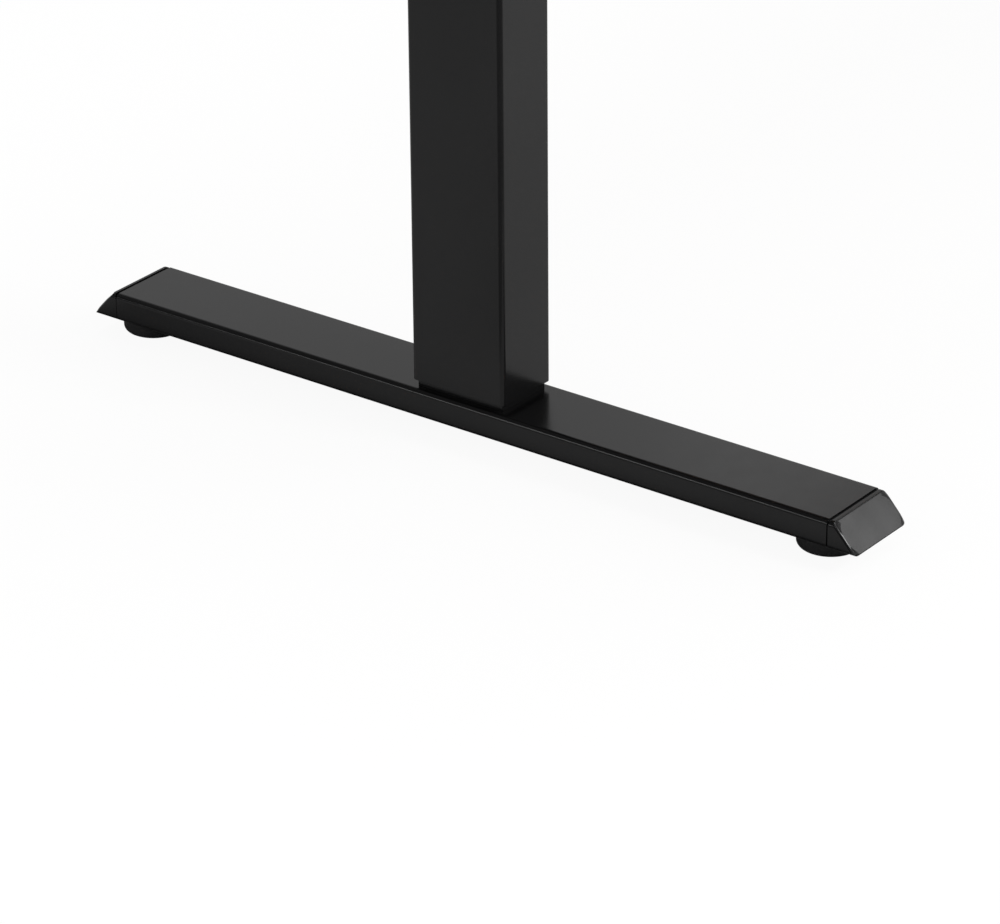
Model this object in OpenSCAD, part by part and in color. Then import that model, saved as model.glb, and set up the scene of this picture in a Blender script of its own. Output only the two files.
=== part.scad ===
// Height adjustable standing desk. Two T-legs stand on flat tube feet with slant-ended caps and
// levelling glides. Each column is an outer tube with a sliding inner tube, lifted by a motor
// driven spindle. A frame of two rails and two side arms carries the desktop.
// Millimetres, +Z up, +X to the user's right, +Y away from the user. The origin is on the floor
// under the middle of the desktop, and the desk is drawn at its lowest height.

/* [Desktop] */
// Width of the desktop
top_w = 1400; // [1340:10:1600]
// Depth of the desktop
top_d = 700; // [660:10:800]
// Thickness of the desktop
top_t = 25; // [20:1:32]
// Outer radius of the desktop's corners
top_corner_r = 12; // [6:1:30]
// Thickness of the edge band
band_t = 2; // [1:0.5:3]
// Height of the desktop's surface when the columns are closed
desk_h = 720; // [700:5:780]
// Thickness of the rubber pads under the desktop
rubber_t = 2; // [1:0.5:4]

/* [Stance] */
// Distance between the two column centres
leg_spacing = 1120; // [1040:10:1200]
// Travel of the columns
stroke = 450; // [300:10:460]

/* [Foot] */
// Length of the foot's tube
foot_len = 583; // [560:1:640]
// Width of the foot's tube
foot_w = 60; // [54:1:70]
// Height of the foot's tube
foot_h = 20; // [19:0.5:26]
// Wall of the foot's tube
foot_wall = 2; // [1.5:0.25:2.5]
// Outer corner radius of the foot's tube
foot_r = 3.75; // [3:0.25:5]
// Length of the end cap along its top edge
cap_top = 4; // [2:0.5:6]
// Length of the end cap along its bottom edge
cap_bottom = 22.5; // [12:1:30]
// Shadow gap between the foot's tube and its end cap
cap_seam = 0.5; // [0.3:0.1:1]
// Depth that the end cap reaches into the tube
plug_len = 14; // [10:1:18]

/* [Glides] */
// Radius of the glide's pad
pad_r = 21.5; // [18:0.5:25]
// Height of the glide's pad
pad_h = 11.5; // [9:0.5:14]
// Gap between the pad and the foot when the glide is screwed in
pad_gap = 2; // [1.5:0.5:4]
// Distance of the front glide from the end of the foot's tube
front_inset = 16.5; // [12:0.5:30]
// Distance of the back glide from the end of the foot's tube
back_inset = 8; // [8:0.5:30]
// Diameter of the glide's stud
stud_d = 8; // [6:1:8]
// How far a glide screws out
glide_travel = 8; // [4:0.5:8]

/* [Column] */
// Size of the outer tube along the foot
col_w = 75; // [70:1:80]
// Size of the outer tube across the foot
col_d = 52; // [48:1:56]
// Wall of the column tubes
col_wall = 1.5; // [1.5:0.25:2]
// Outer corner radius of the outer tube
col_r = 3.25; // [2.75:0.25:5]
// Height of the plinth between the foot and the outer tube
plinth_h = 5; // [3:0.5:8]
// How far the plinth stands back from the outer tube's faces
plinth_inset = 2.7; // [2:0.1:3.5]
// Height of the inner tube that shows when the column is closed
neck = 20; // [14:1:30]
// Gap all round between the outer and the inner tube
tube_gap = 1.5; // [1.2:0.1:2]
// Thickness of the collar's rim
rim_t = 4; // [3:0.5:6]

/* [Lifting drive] */
// Diameter of the spindle
spindle_d = 14; // [12:1:16]
// Outer diameter of the push tube that carries the spindle nut
push_d = 25; // [24:1:28]
// Wall of the push tube
push_wall = 1.5; // [1:0.25:1.5]
// Radius of the worm wheel's pitch circle
wheel_r = 15; // [15:0.5:16]
// Radius of the worm's pitch cylinder
worm_r = 5; // [4.5:0.5:5.5]
// Outer radius of the motor
motor_r = 18; // [15:0.5:18]
// Length of the motor
motor_len = 90; // [70:5:120]

/* [Frame] */
// Height of the crossbeam rails
rail_h = 40; // [38:1:44]
// Thickness of the crossbeam rails
rail_t = 20; // [16:1:24]
// Wall of the crossbeam rails
rail_wall = 1.5; // [1.5:0.25:2]
// Distance of each rail's middle from the middle of the column
rail_y = 52; // [51:1:56]
// Thickness of the column head's plate
head_t = 3; // [2.5:0.5:4]
// Length of the side arms
arm_len = 600; // [560:10:640]
// Width of the side arms
arm_w = 40; // [36:1:50]
// Height of a side arm at its ends
arm_tip_h = 14; // [12:1:24]
// Thickness of the side arms' sheet
arm_wall = 2.5; // [2:0.25:3]
// Distance from the column's middle out to the inner face of the side arm
arm_out = 40; // [36:1:60]

/* [Grommets] */
// Diameter of the hole for a cable grommet
grommet_d = 60; // [60:1:70]
// Distance of the grommets from the desktop's middle
grommet_x = 470; // [380:10:480]
// Distance of the grommets from the desktop's back edge
grommet_back = 80; // [60:5:110]

/* [Control box and handset] */
// Width of the control box
box_w = 236; // [220:2:280]
// Depth of the control box
box_d = 86; // [76:2:100]
// Height of the control box
box_h = 34; // [30:1:40]
// Distance of the handset's middle from the desktop's middle
handset_x = 400; // [300:10:430]
// Width of the handset
handset_w = 124; // [122:1:150]
// Height of the handset
handset_h = 22; // [20:1:30]
// Depth of the handset
handset_d = 46; // [40:1:60]
// Diameter of the handset's buttons
button_d = 10.6; // [9:0.2:12]
// How far a button stands out of the handset
button_out = 1.4; // [1.2:0.1:2]
// Travel of a button
button_travel = 0.8; // [0.4:0.1:0.9]

/* [Hidden] */
$fn = 64;

// Clearances and shared small sizes
run_gap = 0.3;         // between pieces that slide or turn past each other
fit_gap = 0.05;        // radial gap of a shaft in its bearing or thread
cut = 1;               // how far a cutting shape runs past what it cuts
m6_d = 6;              // frame screws
m6_hole = m6_d + 2 * fit_gap;
m6_clear = m6_d + 0.6;
m6_head_d = 10;
m6_head_h = 6;
m6_key = 5;            // across the flats of the hexagon socket
wood_d = 4.8;          // wood screws into the desktop
wood_head_d = 9;
wood_head_h = 3;
wood_clear = wood_d + 0.6;
wood_bite = 15;        // depth of a wood screw in the desktop

// Heights, from the floor up
foot_z0 = pad_h + pad_gap;
foot_z1 = foot_z0 + foot_h;
tube_z0 = foot_z1 + plinth_h;
base_in = 8;           // thickness of the column base inside the outer tube
base_z1 = tube_z0 + base_in;
push_seat = 2;         // depth to which the push tube stands in the column base
top_z0 = desk_h - top_t;
frame_z1 = top_z0 - rubber_t;
rail_z0 = frame_z1 - rail_h;
head_z0 = rail_z0 - head_t;
outer_z1 = head_z0 - neck - rim_t;
inner_rise = 13.5;     // room under the inner tube when the column is fully in
inner_z0 = base_z1 + inner_rise;
collar_len = 30;       // length of the collar inside the outer tube
sleeve_len = 40;       // length of the sleeve round the inner tube's lower end
nut_z1 = outer_z1 - collar_len;
nut_flange_t = 8;
nut_len = 28;
spindle_spare = 5;     // spindle left below the nut when the column is fully out
spindle_z0 = max(nut_z1 - nut_len - stroke - spindle_spare, base_z1 + spindle_spare);

// Plan positions
leg_x = leg_spacing / 2;
arm_x0 = leg_x + arm_out;
glide_front_y = -(foot_len / 2 - front_inset);
glide_back_y = foot_len / 2 - back_inset;

// Column section
outer_in_d = col_d - 2 * col_wall;
outer_in_w = col_w - 2 * col_wall;
inner_d = outer_in_d - 2 * tube_gap;
inner_w = outer_in_w - 2 * tube_gap;
inner_r = max(col_r - col_wall, 1);
base_screw_x = foot_w / 2 - foot_wall - 14;
base_screw_y = col_w / 2 - 12.5;
access_d = m6_head_d + 4;

// Levelling glide
stud_hex_t = min(pad_gap - 0.8, 1.2);     // thin hexagon on the stud, between the pad and the foot
stud_flange_r = 7;
stud_flange_t = 2.5;
stud_flange_z = 3;
nut_flats = stud_d + 5;
weld_nut_h = 6.5;
stud_z1 = foot_z0 + foot_wall + weld_nut_h + glide_travel + run_gap;

// Drive
journal_d = spindle_d - 2;
spindle_hole = spindle_d + 3;             // holes that the spindle passes freely
bearing_r = 14;
bearing_h = 8;
case_floor = 3;
case_wall = 4;
bearing_z0 = rail_z0 + case_floor;
bearing_z1 = bearing_z0 + bearing_h;
wheel_t = 12;
hub_d = journal_d + 6;
wheel_z0 = bearing_z1 + 2;
wheel_z1 = wheel_z0 + wheel_t;
drive_z = wheel_z0 + wheel_t / 2;         // height of the worm's axis
worm_y = wheel_r + worm_r + run_gap;
worm_cavity_r = worm_r + 0.8;
wheel_cavity_r = wheel_r + 0.5;
case_x = 31;
case_y0 = -(wheel_r + case_wall + 1);
case_y1 = worm_y + worm_cavity_r + case_wall;
case_z1 = wheel_z1 + 2;
cover_t = 6;
worm_x0 = -26;                            // outer end of the worm's cavity
worm_shaft_d = 6;
journal_len = 3.5;
motor_bore = 14;
motor_plate_t = 3;
motor_plate = min(2 * motor_r, 2 * (drive_z - rail_z0 - 0.5));
motor_end_in = 3;                         // step at the motor's end, in radius
motor_end_t = 8;                          // and in length

// Frame
head_in = 60;                             // reach of the column head towards the desk's middle
head_out = arm_out - 2;                   // reach of the column head towards the side arm
head_flange_t = 3;
head_flange_h = 30;
head_y = rail_y + rail_t / 2 + head_flange_t;
head_bolt_xs = [-(head_out - 12), head_in - 15];
rail_r = 2.5;
bolt_bite = 10;
boss_h = 7;
boss_d = 9;
rail_end_t = 9;
arm_bolt_z = rail_z0 + rail_h / 2;
arm_flat = head_y + 30;                   // half length of the side arm's full height part
arm_screw_in = 30;                        // outer screws, from the arm's ends
arm_screw_mid = 80;                       // inner screws, from the middle
arm_screw_ys = [-arm_len / 2 + arm_screw_in, -arm_screw_mid, arm_screw_mid, arm_len / 2 - arm_screw_in];
rubber_w = arm_w - 4;
rubber_len = 28;
rubber_r = 3;

// Grommets
grommet_y = top_d / 2 - grommet_back;
grommet_rim = 5;
grommet_rim_t = 2.5;
grommet_wall = 2.5;
grommet_gap = 0.2;                        // radial gap of the sleeve in the desktop and of its cap
cap_t = 3;
ledge_w = 2;
cable_w = 18;
cable_reach = 14;
sleeve_in_r = grommet_d / 2 - grommet_gap - grommet_wall;

// Control box
box_y0 = rail_y + rail_t / 2 + head_flange_t + 20;
box_cover_t = 2;
box_wall = 2.5;
box_back = 17;                            // thick back wall that holds the sockets
box_z0 = top_z0 - box_cover_t - box_h;
box_ear = 20;
cover_in = 2;                             // the cover's long edges stand in from the tray's by this
box_screw_x = box_w / 2 + box_ear / 2;
// Each socket: place along the box, width, height, depth
sockets = [[-80, 25, 17, 13], [-25, 16, 11, 11], [15, 16, 11, 11], [60, 13, 10, 10]];
board_t = 1.6;
board_in = 3;                             // room round the control board

// Handset
face_set_back = 2;                        // how far the face stands behind the desktop's edge
face_y = -top_d / 2 + face_set_back;
handset_wall = 2.4;
handset_r = 2.5;
handset_in_x = handset_x - handset_w / 2 + handset_wall;
handset_in_z = top_z0 - handset_h + handset_wall;
handset_z = top_z0 - handset_h / 2;
flange_t = 1;
flange_over = 1.4;                        // radius by which a button's flange passes its hole
display_w = 32;
display_h = 12;
display_x = -2;
display_gap = 0.2;
display_sunk = 0.3;                       // how far the lens stands behind the face
display_flange = 1.5;
display_flange_t = 1.2;
button_xs = [-50, -32, 24, 38, 52];        // down, up and three memory buttons
flange_gap = 0.2;                         // between a button's flange and the back of the face
switch_gap = 0.7;                         // left behind a button's flange when it is pressed
board_y = handset_wall + flange_gap + flange_t + button_travel + switch_gap;
ear_screw_in = 8;
ear_screw_x = handset_w / 2 - ear_screw_in;
ear_screw_y = face_y + handset_d - ear_screw_in;

// A rectangle with round corners, centred
module rounded_rect(w, h, r) {
    square([w - 2 * r, h], center = true);
    square([w, h - 2 * r], center = true);
    for (x = [-1, 1], y = [-1, 1])
        translate([x * (w / 2 - r), y * (h / 2 - r)]) circle(r);
}

// The section of a rectangular tube
module tube_section(w, h, r, wall) {
    difference() {
        rounded_rect(w, h, r);
        rounded_rect(w - 2 * wall, h - 2 * wall, max(r - wall, 0.5));
    }
}

// Draws along +Y what is given as a section in X and Z
module along_y(length) {
    rotate([90, 0, 0]) linear_extrude(length, center = true) children();
}

// Draws along +X what is given as a section in Y and Z
module along_x(length) {
    rotate([90, 0, 90]) linear_extrude(length) children();
}

// Puts a piece drawn for a leg at the origin, +X inwards, at the left or the right leg
module at_leg(side) {
    if (side == "left") translate([-leg_x, 0, 0]) children();
    else mirror([1, 0, 0]) translate([-leg_x, 0, 0]) children();
}

module at_both_legs() {
    at_leg("left") children();
    at_leg("right") children();
}

// A hexagon socket screw: the head hangs below z = 0 and the shank stands above it
module cap_screw(length) {
    cylinder(d = m6_d, h = length);
    difference() {
        translate([0, 0, -m6_head_h]) cylinder(d = m6_head_d, h = m6_head_h);
        translate([0, 0, -m6_head_h - cut]) cylinder(d = m6_key / cos(30), h = m6_head_h / 2 + cut, $fn = 6);
    }
}

// A pan head wood screw, placed as the cap screw is
module wood_screw(length) {
    cylinder(d = wood_d, h = length);
    difference() {
        translate([0, 0, -wood_head_h]) cylinder(d = wood_head_d, h = wood_head_h);
        for (a = [0, 90]) rotate(a) translate([0, 0, -wood_head_h]) cube([5, 1.2, 2.4], center = true);
    }
}

module at_base_screws() {
    for (x = [-1, 1], y = [-1, 1]) translate([x * base_screw_x, y * base_screw_y, 0]) children();
}

// ---- Foot ----

module foot_tube() {
    color("#1b1b1c") difference() {
        translate([0, 0, foot_z0 + foot_h / 2]) along_y(foot_len)
            tube_section(foot_w, foot_h, foot_r, foot_wall);
        for (y = [glide_front_y, glide_back_y]) translate([0, y, foot_z0 - cut])
            cylinder(d = stud_d + 2 * run_gap, h = foot_wall + 2 * cut);
        at_base_screws() {
            translate([0, 0, foot_z0 - cut]) cylinder(d = access_d, h = foot_wall + 2 * cut);
            translate([0, 0, foot_z1 - foot_wall - cut]) cylinder(d = m6_clear, h = foot_wall + 2 * cut);
        }
    }
}

// One slant-ended cap at the +Y end: the slanted body, the recessed seam and two prongs in the tube
module end_cap() {
    end_y = foot_len / 2;
    plug_gap = 0.15;
    plug_w = foot_w - 2 * foot_wall - 2 * plug_gap;
    plug_h = foot_h - 2 * foot_wall - 2 * plug_gap;
    plug_r = foot_r - foot_wall - 0.25;
    seam_in = 0.9;
    prong_x = nut_flats / 2 + 2.5;
    translate([0, 0, foot_z0]) {
        intersection() {
            translate([0, end_y + cap_bottom / 2, foot_h / 2]) along_y(cap_bottom)
                rounded_rect(foot_w, foot_h, foot_r);
            translate([-foot_w / 2, 0, 0]) along_x(foot_w) polygon([
                [end_y + cap_seam, 0], [end_y + cap_bottom, 0],
                [end_y + cap_top, foot_h], [end_y + cap_seam, foot_h]]);
        }
        translate([0, end_y + cap_seam / 2, foot_h / 2]) along_y(cap_seam)
            rounded_rect(foot_w - 2 * seam_in, foot_h - 2 * seam_in, foot_r - seam_in);
        for (x = [-1, 1]) intersection() {
            translate([0, end_y - plug_len / 2, foot_h / 2]) along_y(plug_len)
                rounded_rect(plug_w, plug_h, plug_r);
            translate([x * (prong_x + foot_w / 2), end_y - plug_len / 2, foot_h / 2])
                cube([foot_w, plug_len + cut, foot_h], center = true);
        }
    }
}

module end_caps() {
    color("#222223") {
        end_cap();
        mirror([0, 1, 0]) end_cap();
    }
}

module weld_nuts() {
    color("#9a9a9a") for (y = [glide_front_y, glide_back_y])
        translate([0, y, foot_z0 + foot_wall]) difference() {
            rotate(30) cylinder(d = nut_flats / cos(30), h = weld_nut_h, $fn = 6);
            translate([0, 0, -cut]) cylinder(d = stud_d + 2 * fit_gap, h = weld_nut_h + 2 * cut);
        }
}

// ---- Levelling glides, drawn for a glide at the origin ----

module glide_pad() {
    curve_r = 4;
    edge_r = 1;
    hollow_r = stud_flange_r + run_gap;
    hollow_z1 = stud_flange_z + stud_flange_t + run_gap;
    color("#18181a") difference() {
        rotate_extrude($fn = 96) difference() {
            union() {
                square([pad_r - curve_r, pad_h]);
                translate([0, curve_r]) square([pad_r, pad_h - curve_r - edge_r]);
                translate([0, pad_h - 2 * edge_r]) square([pad_r - edge_r, 2 * edge_r]);
                translate([pad_r - curve_r, curve_r]) circle(curve_r);
                translate([pad_r - edge_r, pad_h - edge_r]) circle(edge_r);
            }
            translate([-pad_r, -cut]) square([pad_r, pad_h + 2 * cut]);
        }
        translate([0, 0, stud_flange_z - run_gap])
            cylinder(r = hollow_r, h = hollow_z1 - stud_flange_z + run_gap);
        translate([0, 0, stud_flange_z]) cylinder(d = stud_d + 2 * run_gap, h = pad_h);
    }
}

module glide_stud() {
    color("#a8a8aa") {
        translate([0, 0, stud_flange_z]) cylinder(r = stud_flange_r, h = stud_flange_t);
        translate([0, 0, stud_flange_z]) cylinder(d = stud_d, h = stud_z1 - stud_flange_z);
        translate([0, 0, pad_h + run_gap]) cylinder(d = nut_flats / cos(30), h = stud_hex_t, $fn = 6);
    }
}

module at_glide(end) {
    translate([0, end == "front" ? glide_front_y : glide_back_y, 0]) children();
}

// ---- Column ----

module column_base() {
    plinth_r = max(col_r - plinth_inset, 1);
    screw_h = plinth_h + base_in + 2 * cut;
    color("#161617") difference() {
        union() {
            translate([0, 0, foot_z1]) linear_extrude(plinth_h)
                rounded_rect(col_d - 2 * plinth_inset, col_w - 2 * plinth_inset, plinth_r);
            translate([0, 0, tube_z0]) linear_extrude(base_in)
                rounded_rect(outer_in_d, outer_in_w, max(col_r - col_wall, 0.5));
        }
        at_base_screws() translate([0, 0, foot_z1 - cut]) cylinder(d = m6_hole, h = screw_h);
        translate([0, 0, base_z1 - push_seat]) cylinder(d = push_d + 2 * fit_gap, h = push_seat + cut);
    }
}

module base_screws() {
    length = foot_wall + plinth_h + base_in - 1;
    color("#8f8f92") at_base_screws() translate([0, 0, foot_z1 - foot_wall]) cap_screw(length);
}

module outer_tube() {
    color("#1b1b1c") translate([0, 0, tube_z0]) linear_extrude(outer_z1 - tube_z0)
        tube_section(col_d, col_w, col_r, col_wall);
}

// Plastic guide at the mouth of the outer tube: a rim on the tube's end and a sleeve inside it
module column_collar() {
    bore_d = inner_d + 2 * run_gap;
    bore_w = inner_w + 2 * run_gap;
    color("#232324") difference() {
        union() {
            translate([0, 0, outer_z1]) linear_extrude(rim_t) rounded_rect(col_d, col_w, col_r);
            translate([0, 0, outer_z1 - collar_len]) linear_extrude(collar_len)
                rounded_rect(outer_in_d, outer_in_w, max(col_r - col_wall, 0.5));
        }
        translate([0, 0, outer_z1 - collar_len - cut]) linear_extrude(collar_len + rim_t + 2 * cut)
            rounded_rect(bore_d, bore_w, inner_r);
    }
}

module inner_tube() {
    color("#1f1f20") translate([0, 0, inner_z0]) linear_extrude(head_z0 - inner_z0)
        tube_section(inner_d, inner_w, inner_r, col_wall);
}

// Plastic guide round the foot end of the inner tube, with a lip under the tube's end
module slide_sleeve() {
    lip = 2;
    corner_r = inner_r + 0.6;
    color("#d9d6cc") difference() {
        translate([0, 0, inner_z0 - lip]) linear_extrude(sleeve_len + lip)
            rounded_rect(outer_in_d - 2 * run_gap, outer_in_w - 2 * run_gap, corner_r);
        translate([0, 0, inner_z0]) linear_extrude(sleeve_len + cut) rounded_rect(inner_d, inner_w, inner_r);
        translate([0, 0, inner_z0 - lip - cut]) linear_extrude(lip + 2 * cut)
            rounded_rect(inner_d - 2 * col_wall, inner_w - 2 * col_wall, max(inner_r - col_wall, 0.5));
    }
}

// ---- Lifting drive ----

module push_tube() {
    color("#b0b0b2") translate([0, 0, base_z1 - push_seat]) difference() {
        cylinder(d = push_d, h = nut_z1 - nut_flange_t - base_z1 + push_seat);
        translate([0, 0, -cut]) cylinder(d = push_d - 2 * push_wall, h = nut_z1);
    }
}

module spindle_nut() {
    color("#c9b27a") difference() {
        union() {
            translate([0, 0, nut_z1 - nut_flange_t]) cylinder(d = push_d + 6, h = nut_flange_t);
            translate([0, 0, nut_z1 - nut_len])
                cylinder(d = push_d - 2 * push_wall - 2 * fit_gap, h = nut_len);
        }
        translate([0, 0, nut_z1 - nut_len - cut])
            cylinder(d = spindle_d + 2 * fit_gap, h = nut_len + 2 * cut);
    }
}

module spindle() {
    color("#b8b8ba") {
        translate([0, 0, spindle_z0]) cylinder(d = spindle_d, h = bearing_z0 - run_gap - spindle_z0);
        translate([0, 0, spindle_z0]) cylinder(d = journal_d, h = wheel_z1 - spindle_z0);
    }
}

module worm_wheel() {
    color("#e4dfcf") difference() {
        union() {
            translate([0, 0, wheel_z0]) cylinder(r = wheel_r, h = wheel_t);
            translate([0, 0, bearing_z1 + run_gap]) cylinder(d = hub_d, h = wheel_z0 - bearing_z1);
        }
        translate([0, 0, bearing_z1 - cut])
            cylinder(d = journal_d + 2 * fit_gap, h = wheel_z1 - bearing_z1 + 2 * cut);
    }
}

module worm_shaft() {
    color("#b8b8ba") translate([0, worm_y, drive_z]) rotate([0, 90, 0]) {
        translate([0, 0, worm_x0 - journal_len + run_gap])
            cylinder(d = worm_shaft_d, h = case_x + motor_bore + journal_len - worm_x0 - 2 * run_gap);
        translate([0, 0, worm_x0 + run_gap]) cylinder(r = worm_r, h = case_x - worm_x0 - 2 * run_gap);
    }
}

module spindle_bearing() {
    color("#9c9c9f") translate([0, 0, bearing_z0]) difference() {
        cylinder(r = bearing_r, h = bearing_h);
        translate([0, 0, -cut]) cylinder(d = journal_d + 2 * fit_gap, h = bearing_h + 2 * cut);
    }
}

// The gear case and its cover, with room for the bearing, the worm wheel and the worm
module gear_case() {
    depth = case_y1 - case_y0;
    color("#2b2b2d") difference() {
        translate([-case_x, case_y0, rail_z0]) cube([2 * case_x, depth, case_z1 - rail_z0]);
        translate([0, 0, rail_z0 - cut]) cylinder(d = spindle_hole, h = case_floor + 2 * cut);
        translate([0, 0, bearing_z0]) cylinder(r = bearing_r + fit_gap, h = bearing_h + cut);
        translate([0, 0, bearing_z1]) cylinder(r = wheel_cavity_r, h = case_z1);
        translate([worm_x0, worm_y, drive_z]) rotate([0, 90, 0])
            cylinder(r = worm_cavity_r, h = case_x - worm_x0 + cut);
        translate([worm_x0 - journal_len, worm_y, drive_z]) rotate([0, 90, 0])
            cylinder(d = worm_shaft_d + 2 * fit_gap, h = journal_len + cut);
    }
    color("#333335") translate([-case_x, case_y0, case_z1]) cube([2 * case_x, depth, cover_t]);
}

// The motor lies along the rails, its mounting plate on the gear case
module motor() {
    color("#3a3a3c") translate([case_x, worm_y, drive_z]) rotate([0, 90, 0]) difference() {
        union() {
            translate([-motor_plate / 2, -motor_plate / 2, 0])
                cube([motor_plate, motor_plate, motor_plate_t]);
            cylinder(r = motor_r, h = motor_len - motor_end_t);
            cylinder(r = motor_r - motor_end_in, h = motor_len);
        }
        translate([0, 0, -cut]) cylinder(d = worm_shaft_d + 2 * fit_gap, h = motor_bore + cut);
    }
}

// ---- Frame ----

// The tray on top of the inner tube: a plate under the rails with a flange outside each rail
module column_head() {
    color("#1c1c1d") difference() {
        union() {
            translate([-head_out, -head_y, head_z0]) cube([head_out + head_in, 2 * head_y, head_t]);
            for (y = [-head_y, head_y - head_flange_t]) translate([-head_out, y, head_z0])
                cube([head_out + head_in, head_flange_t, head_t + head_flange_h]);
        }
        translate([0, 0, head_z0 - cut]) cylinder(d = spindle_hole, h = head_t + 2 * cut);
        at_head_bolts() translate([0, 0, head_z0 - cut]) cylinder(d = m6_clear, h = head_t + 2 * cut);
    }
}

module at_head_bolts() {
    for (x = head_bolt_xs, y = [-rail_y, rail_y]) translate([x, y, 0]) children();
}

// One rail from side arm to side arm: a rectangular tube with welded ends and threaded bosses
module rail() {
    length = 2 * arm_x0;
    difference() {
        union() {
            translate([-length / 2, 0, rail_z0 + rail_h / 2]) along_x(length)
                tube_section(rail_t, rail_h, rail_r, rail_wall);
            for (x = [-length / 2, length / 2 - rail_end_t]) translate([x, 0, rail_z0 + rail_h / 2])
                along_x(rail_end_t) rounded_rect(rail_t - rail_wall, rail_h - rail_wall, rail_r - 1);
            at_rail_bolts() translate([0, 0, rail_z0 + rail_wall / 2]) cylinder(d = boss_d, h = boss_h);
        }
        at_rail_bolts() translate([0, 0, rail_z0 - cut])
            cylinder(d = m6_hole, h = boss_h + rail_wall + 2 * cut);
        for (x = [-length / 2 - cut, length / 2 - rail_end_t - cut]) translate([x, 0, arm_bolt_z])
            rotate([0, 90, 0]) cylinder(d = m6_hole, h = rail_end_t + 2 * cut);
    }
}

module at_rail_bolts() {
    for (side = [-1, 1], x = head_bolt_xs) translate([side * (leg_x - x), 0, 0]) children();
}

module crossbeam_rails() {
    color("#1b1b1c") for (y = [-rail_y, rail_y]) translate([0, y, 0]) rail();
}

// An inverted channel along Y, full height over the rails and tapered to its ends
module side_arm() {
    outline = [
        [-arm_len / 2, -arm_tip_h], [-arm_len / 2, 0], [arm_len / 2, 0], [arm_len / 2, -arm_tip_h],
        [arm_flat, -rail_h], [-arm_flat, -rail_h]];
    color("#1b1b1c") translate([-arm_out - arm_w, 0, frame_z1]) difference() {
        union() {
            for (x = [0, arm_w - arm_wall]) translate([x, 0, 0]) along_x(arm_wall) polygon(outline);
            translate([0, -arm_len / 2, -arm_wall]) cube([arm_w, arm_len, arm_wall]);
        }
        for (y = arm_screw_ys) translate([arm_w / 2, y, -arm_wall - cut])
            cylinder(d = wood_clear, h = arm_wall + 2 * cut);
        for (y = [-rail_y, rail_y]) translate([arm_w - arm_wall - cut, y, -rail_h / 2]) rotate([0, 90, 0])
            cylinder(d = m6_clear, h = arm_wall + 2 * cut);
    }
}

// The frame's screws: up through each column head into the rails, and through each arm into a rail's end
module frame_bolts() {
    color("#8f8f92") at_both_legs() {
        at_head_bolts() translate([0, 0, head_z0]) cap_screw(bolt_bite);
        for (y = [-rail_y, rail_y]) translate([-arm_out - arm_wall, y, arm_bolt_z]) rotate([0, 90, 0])
            cap_screw(bolt_bite);
    }
}

// Places of the screws that go up through the side arms
module at_arm_screws() {
    at_both_legs() for (y = arm_screw_ys) translate([-arm_out - arm_w / 2, y, 0]) children();
}

module rubber_pads() {
    color("#202020") at_arm_screws() translate([0, 0, frame_z1]) difference() {
        linear_extrude(rubber_t) rounded_rect(rubber_w, rubber_len, rubber_r);
        translate([0, 0, -cut]) cylinder(d = wood_clear, h = rubber_t + 2 * cut);
    }
}

// Places of the control box's screws and the handset's screws
module at_box_screws() {
    for (x = [-box_screw_x, box_screw_x]) translate([x, box_y0 + box_d / 2, 0]) children();
}

module at_handset_screws() {
    for (x = [-ear_screw_x, ear_screw_x]) translate([handset_x + x, ear_screw_y, 0]) children();
}

module desktop_screws() {
    color("#8f8f92") {
        at_arm_screws() translate([0, 0, frame_z1 - arm_wall]) wood_screw(arm_wall + rubber_t + wood_bite);
        at_box_screws() translate([0, 0, top_z0 - box_cover_t]) wood_screw(box_cover_t + wood_bite);
        at_handset_screws() translate([0, 0, top_z0 - handset_wall]) wood_screw(handset_wall + wood_bite);
    }
}

// ---- Desktop ----

module at_grommets() {
    for (x = [-grommet_x, grommet_x]) translate([x, grommet_y, 0]) children();
}

module pilot_hole() {
    translate([0, 0, top_z0 - cut]) cylinder(d = wood_d + 2 * fit_gap, h = wood_bite + 2 * cut);
}

module desktop() {
    color("#a9794c") difference() {
        translate([0, 0, top_z0]) linear_extrude(top_t)
            rounded_rect(top_w - 2 * band_t, top_d - 2 * band_t, top_corner_r - band_t);
        at_grommets() {
            translate([0, 0, top_z0 - cut]) cylinder(d = grommet_d, h = top_t + 2 * cut);
            translate([0, 0, desk_h - grommet_rim_t])
                cylinder(r = grommet_d / 2 + grommet_rim + grommet_gap, h = grommet_rim_t + cut);
        }
        at_arm_screws() pilot_hole();
        at_box_screws() pilot_hole();
        at_handset_screws() pilot_hole();
    }
}

module edge_band() {
    color("#3b2a1e") translate([0, 0, top_z0]) linear_extrude(top_t) difference() {
        rounded_rect(top_w, top_d, top_corner_r);
        rounded_rect(top_w - 2 * band_t, top_d - 2 * band_t, top_corner_r - band_t);
    }
}

// Cable grommets: a rimmed sleeve in the desktop and a cap with a cable slot at the back
module grommet_sleeves() {
    ledge_t = 2;
    color("#1d1d1e") at_grommets() translate([0, 0, top_z0]) difference() {
        union() {
            cylinder(d = grommet_d - 2 * grommet_gap, h = top_t);
            translate([0, 0, top_t - grommet_rim_t])
                cylinder(r = grommet_d / 2 + grommet_rim, h = grommet_rim_t);
        }
        translate([0, 0, top_t - cap_t]) cylinder(r = sleeve_in_r, h = cap_t + cut);
        translate([0, 0, -cut]) cylinder(r = sleeve_in_r - ledge_w, h = top_t + 2 * cut);
        translate([0, 0, -cut]) cylinder(r = sleeve_in_r, h = top_t - cap_t - ledge_t + cut);
    }
}

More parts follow.
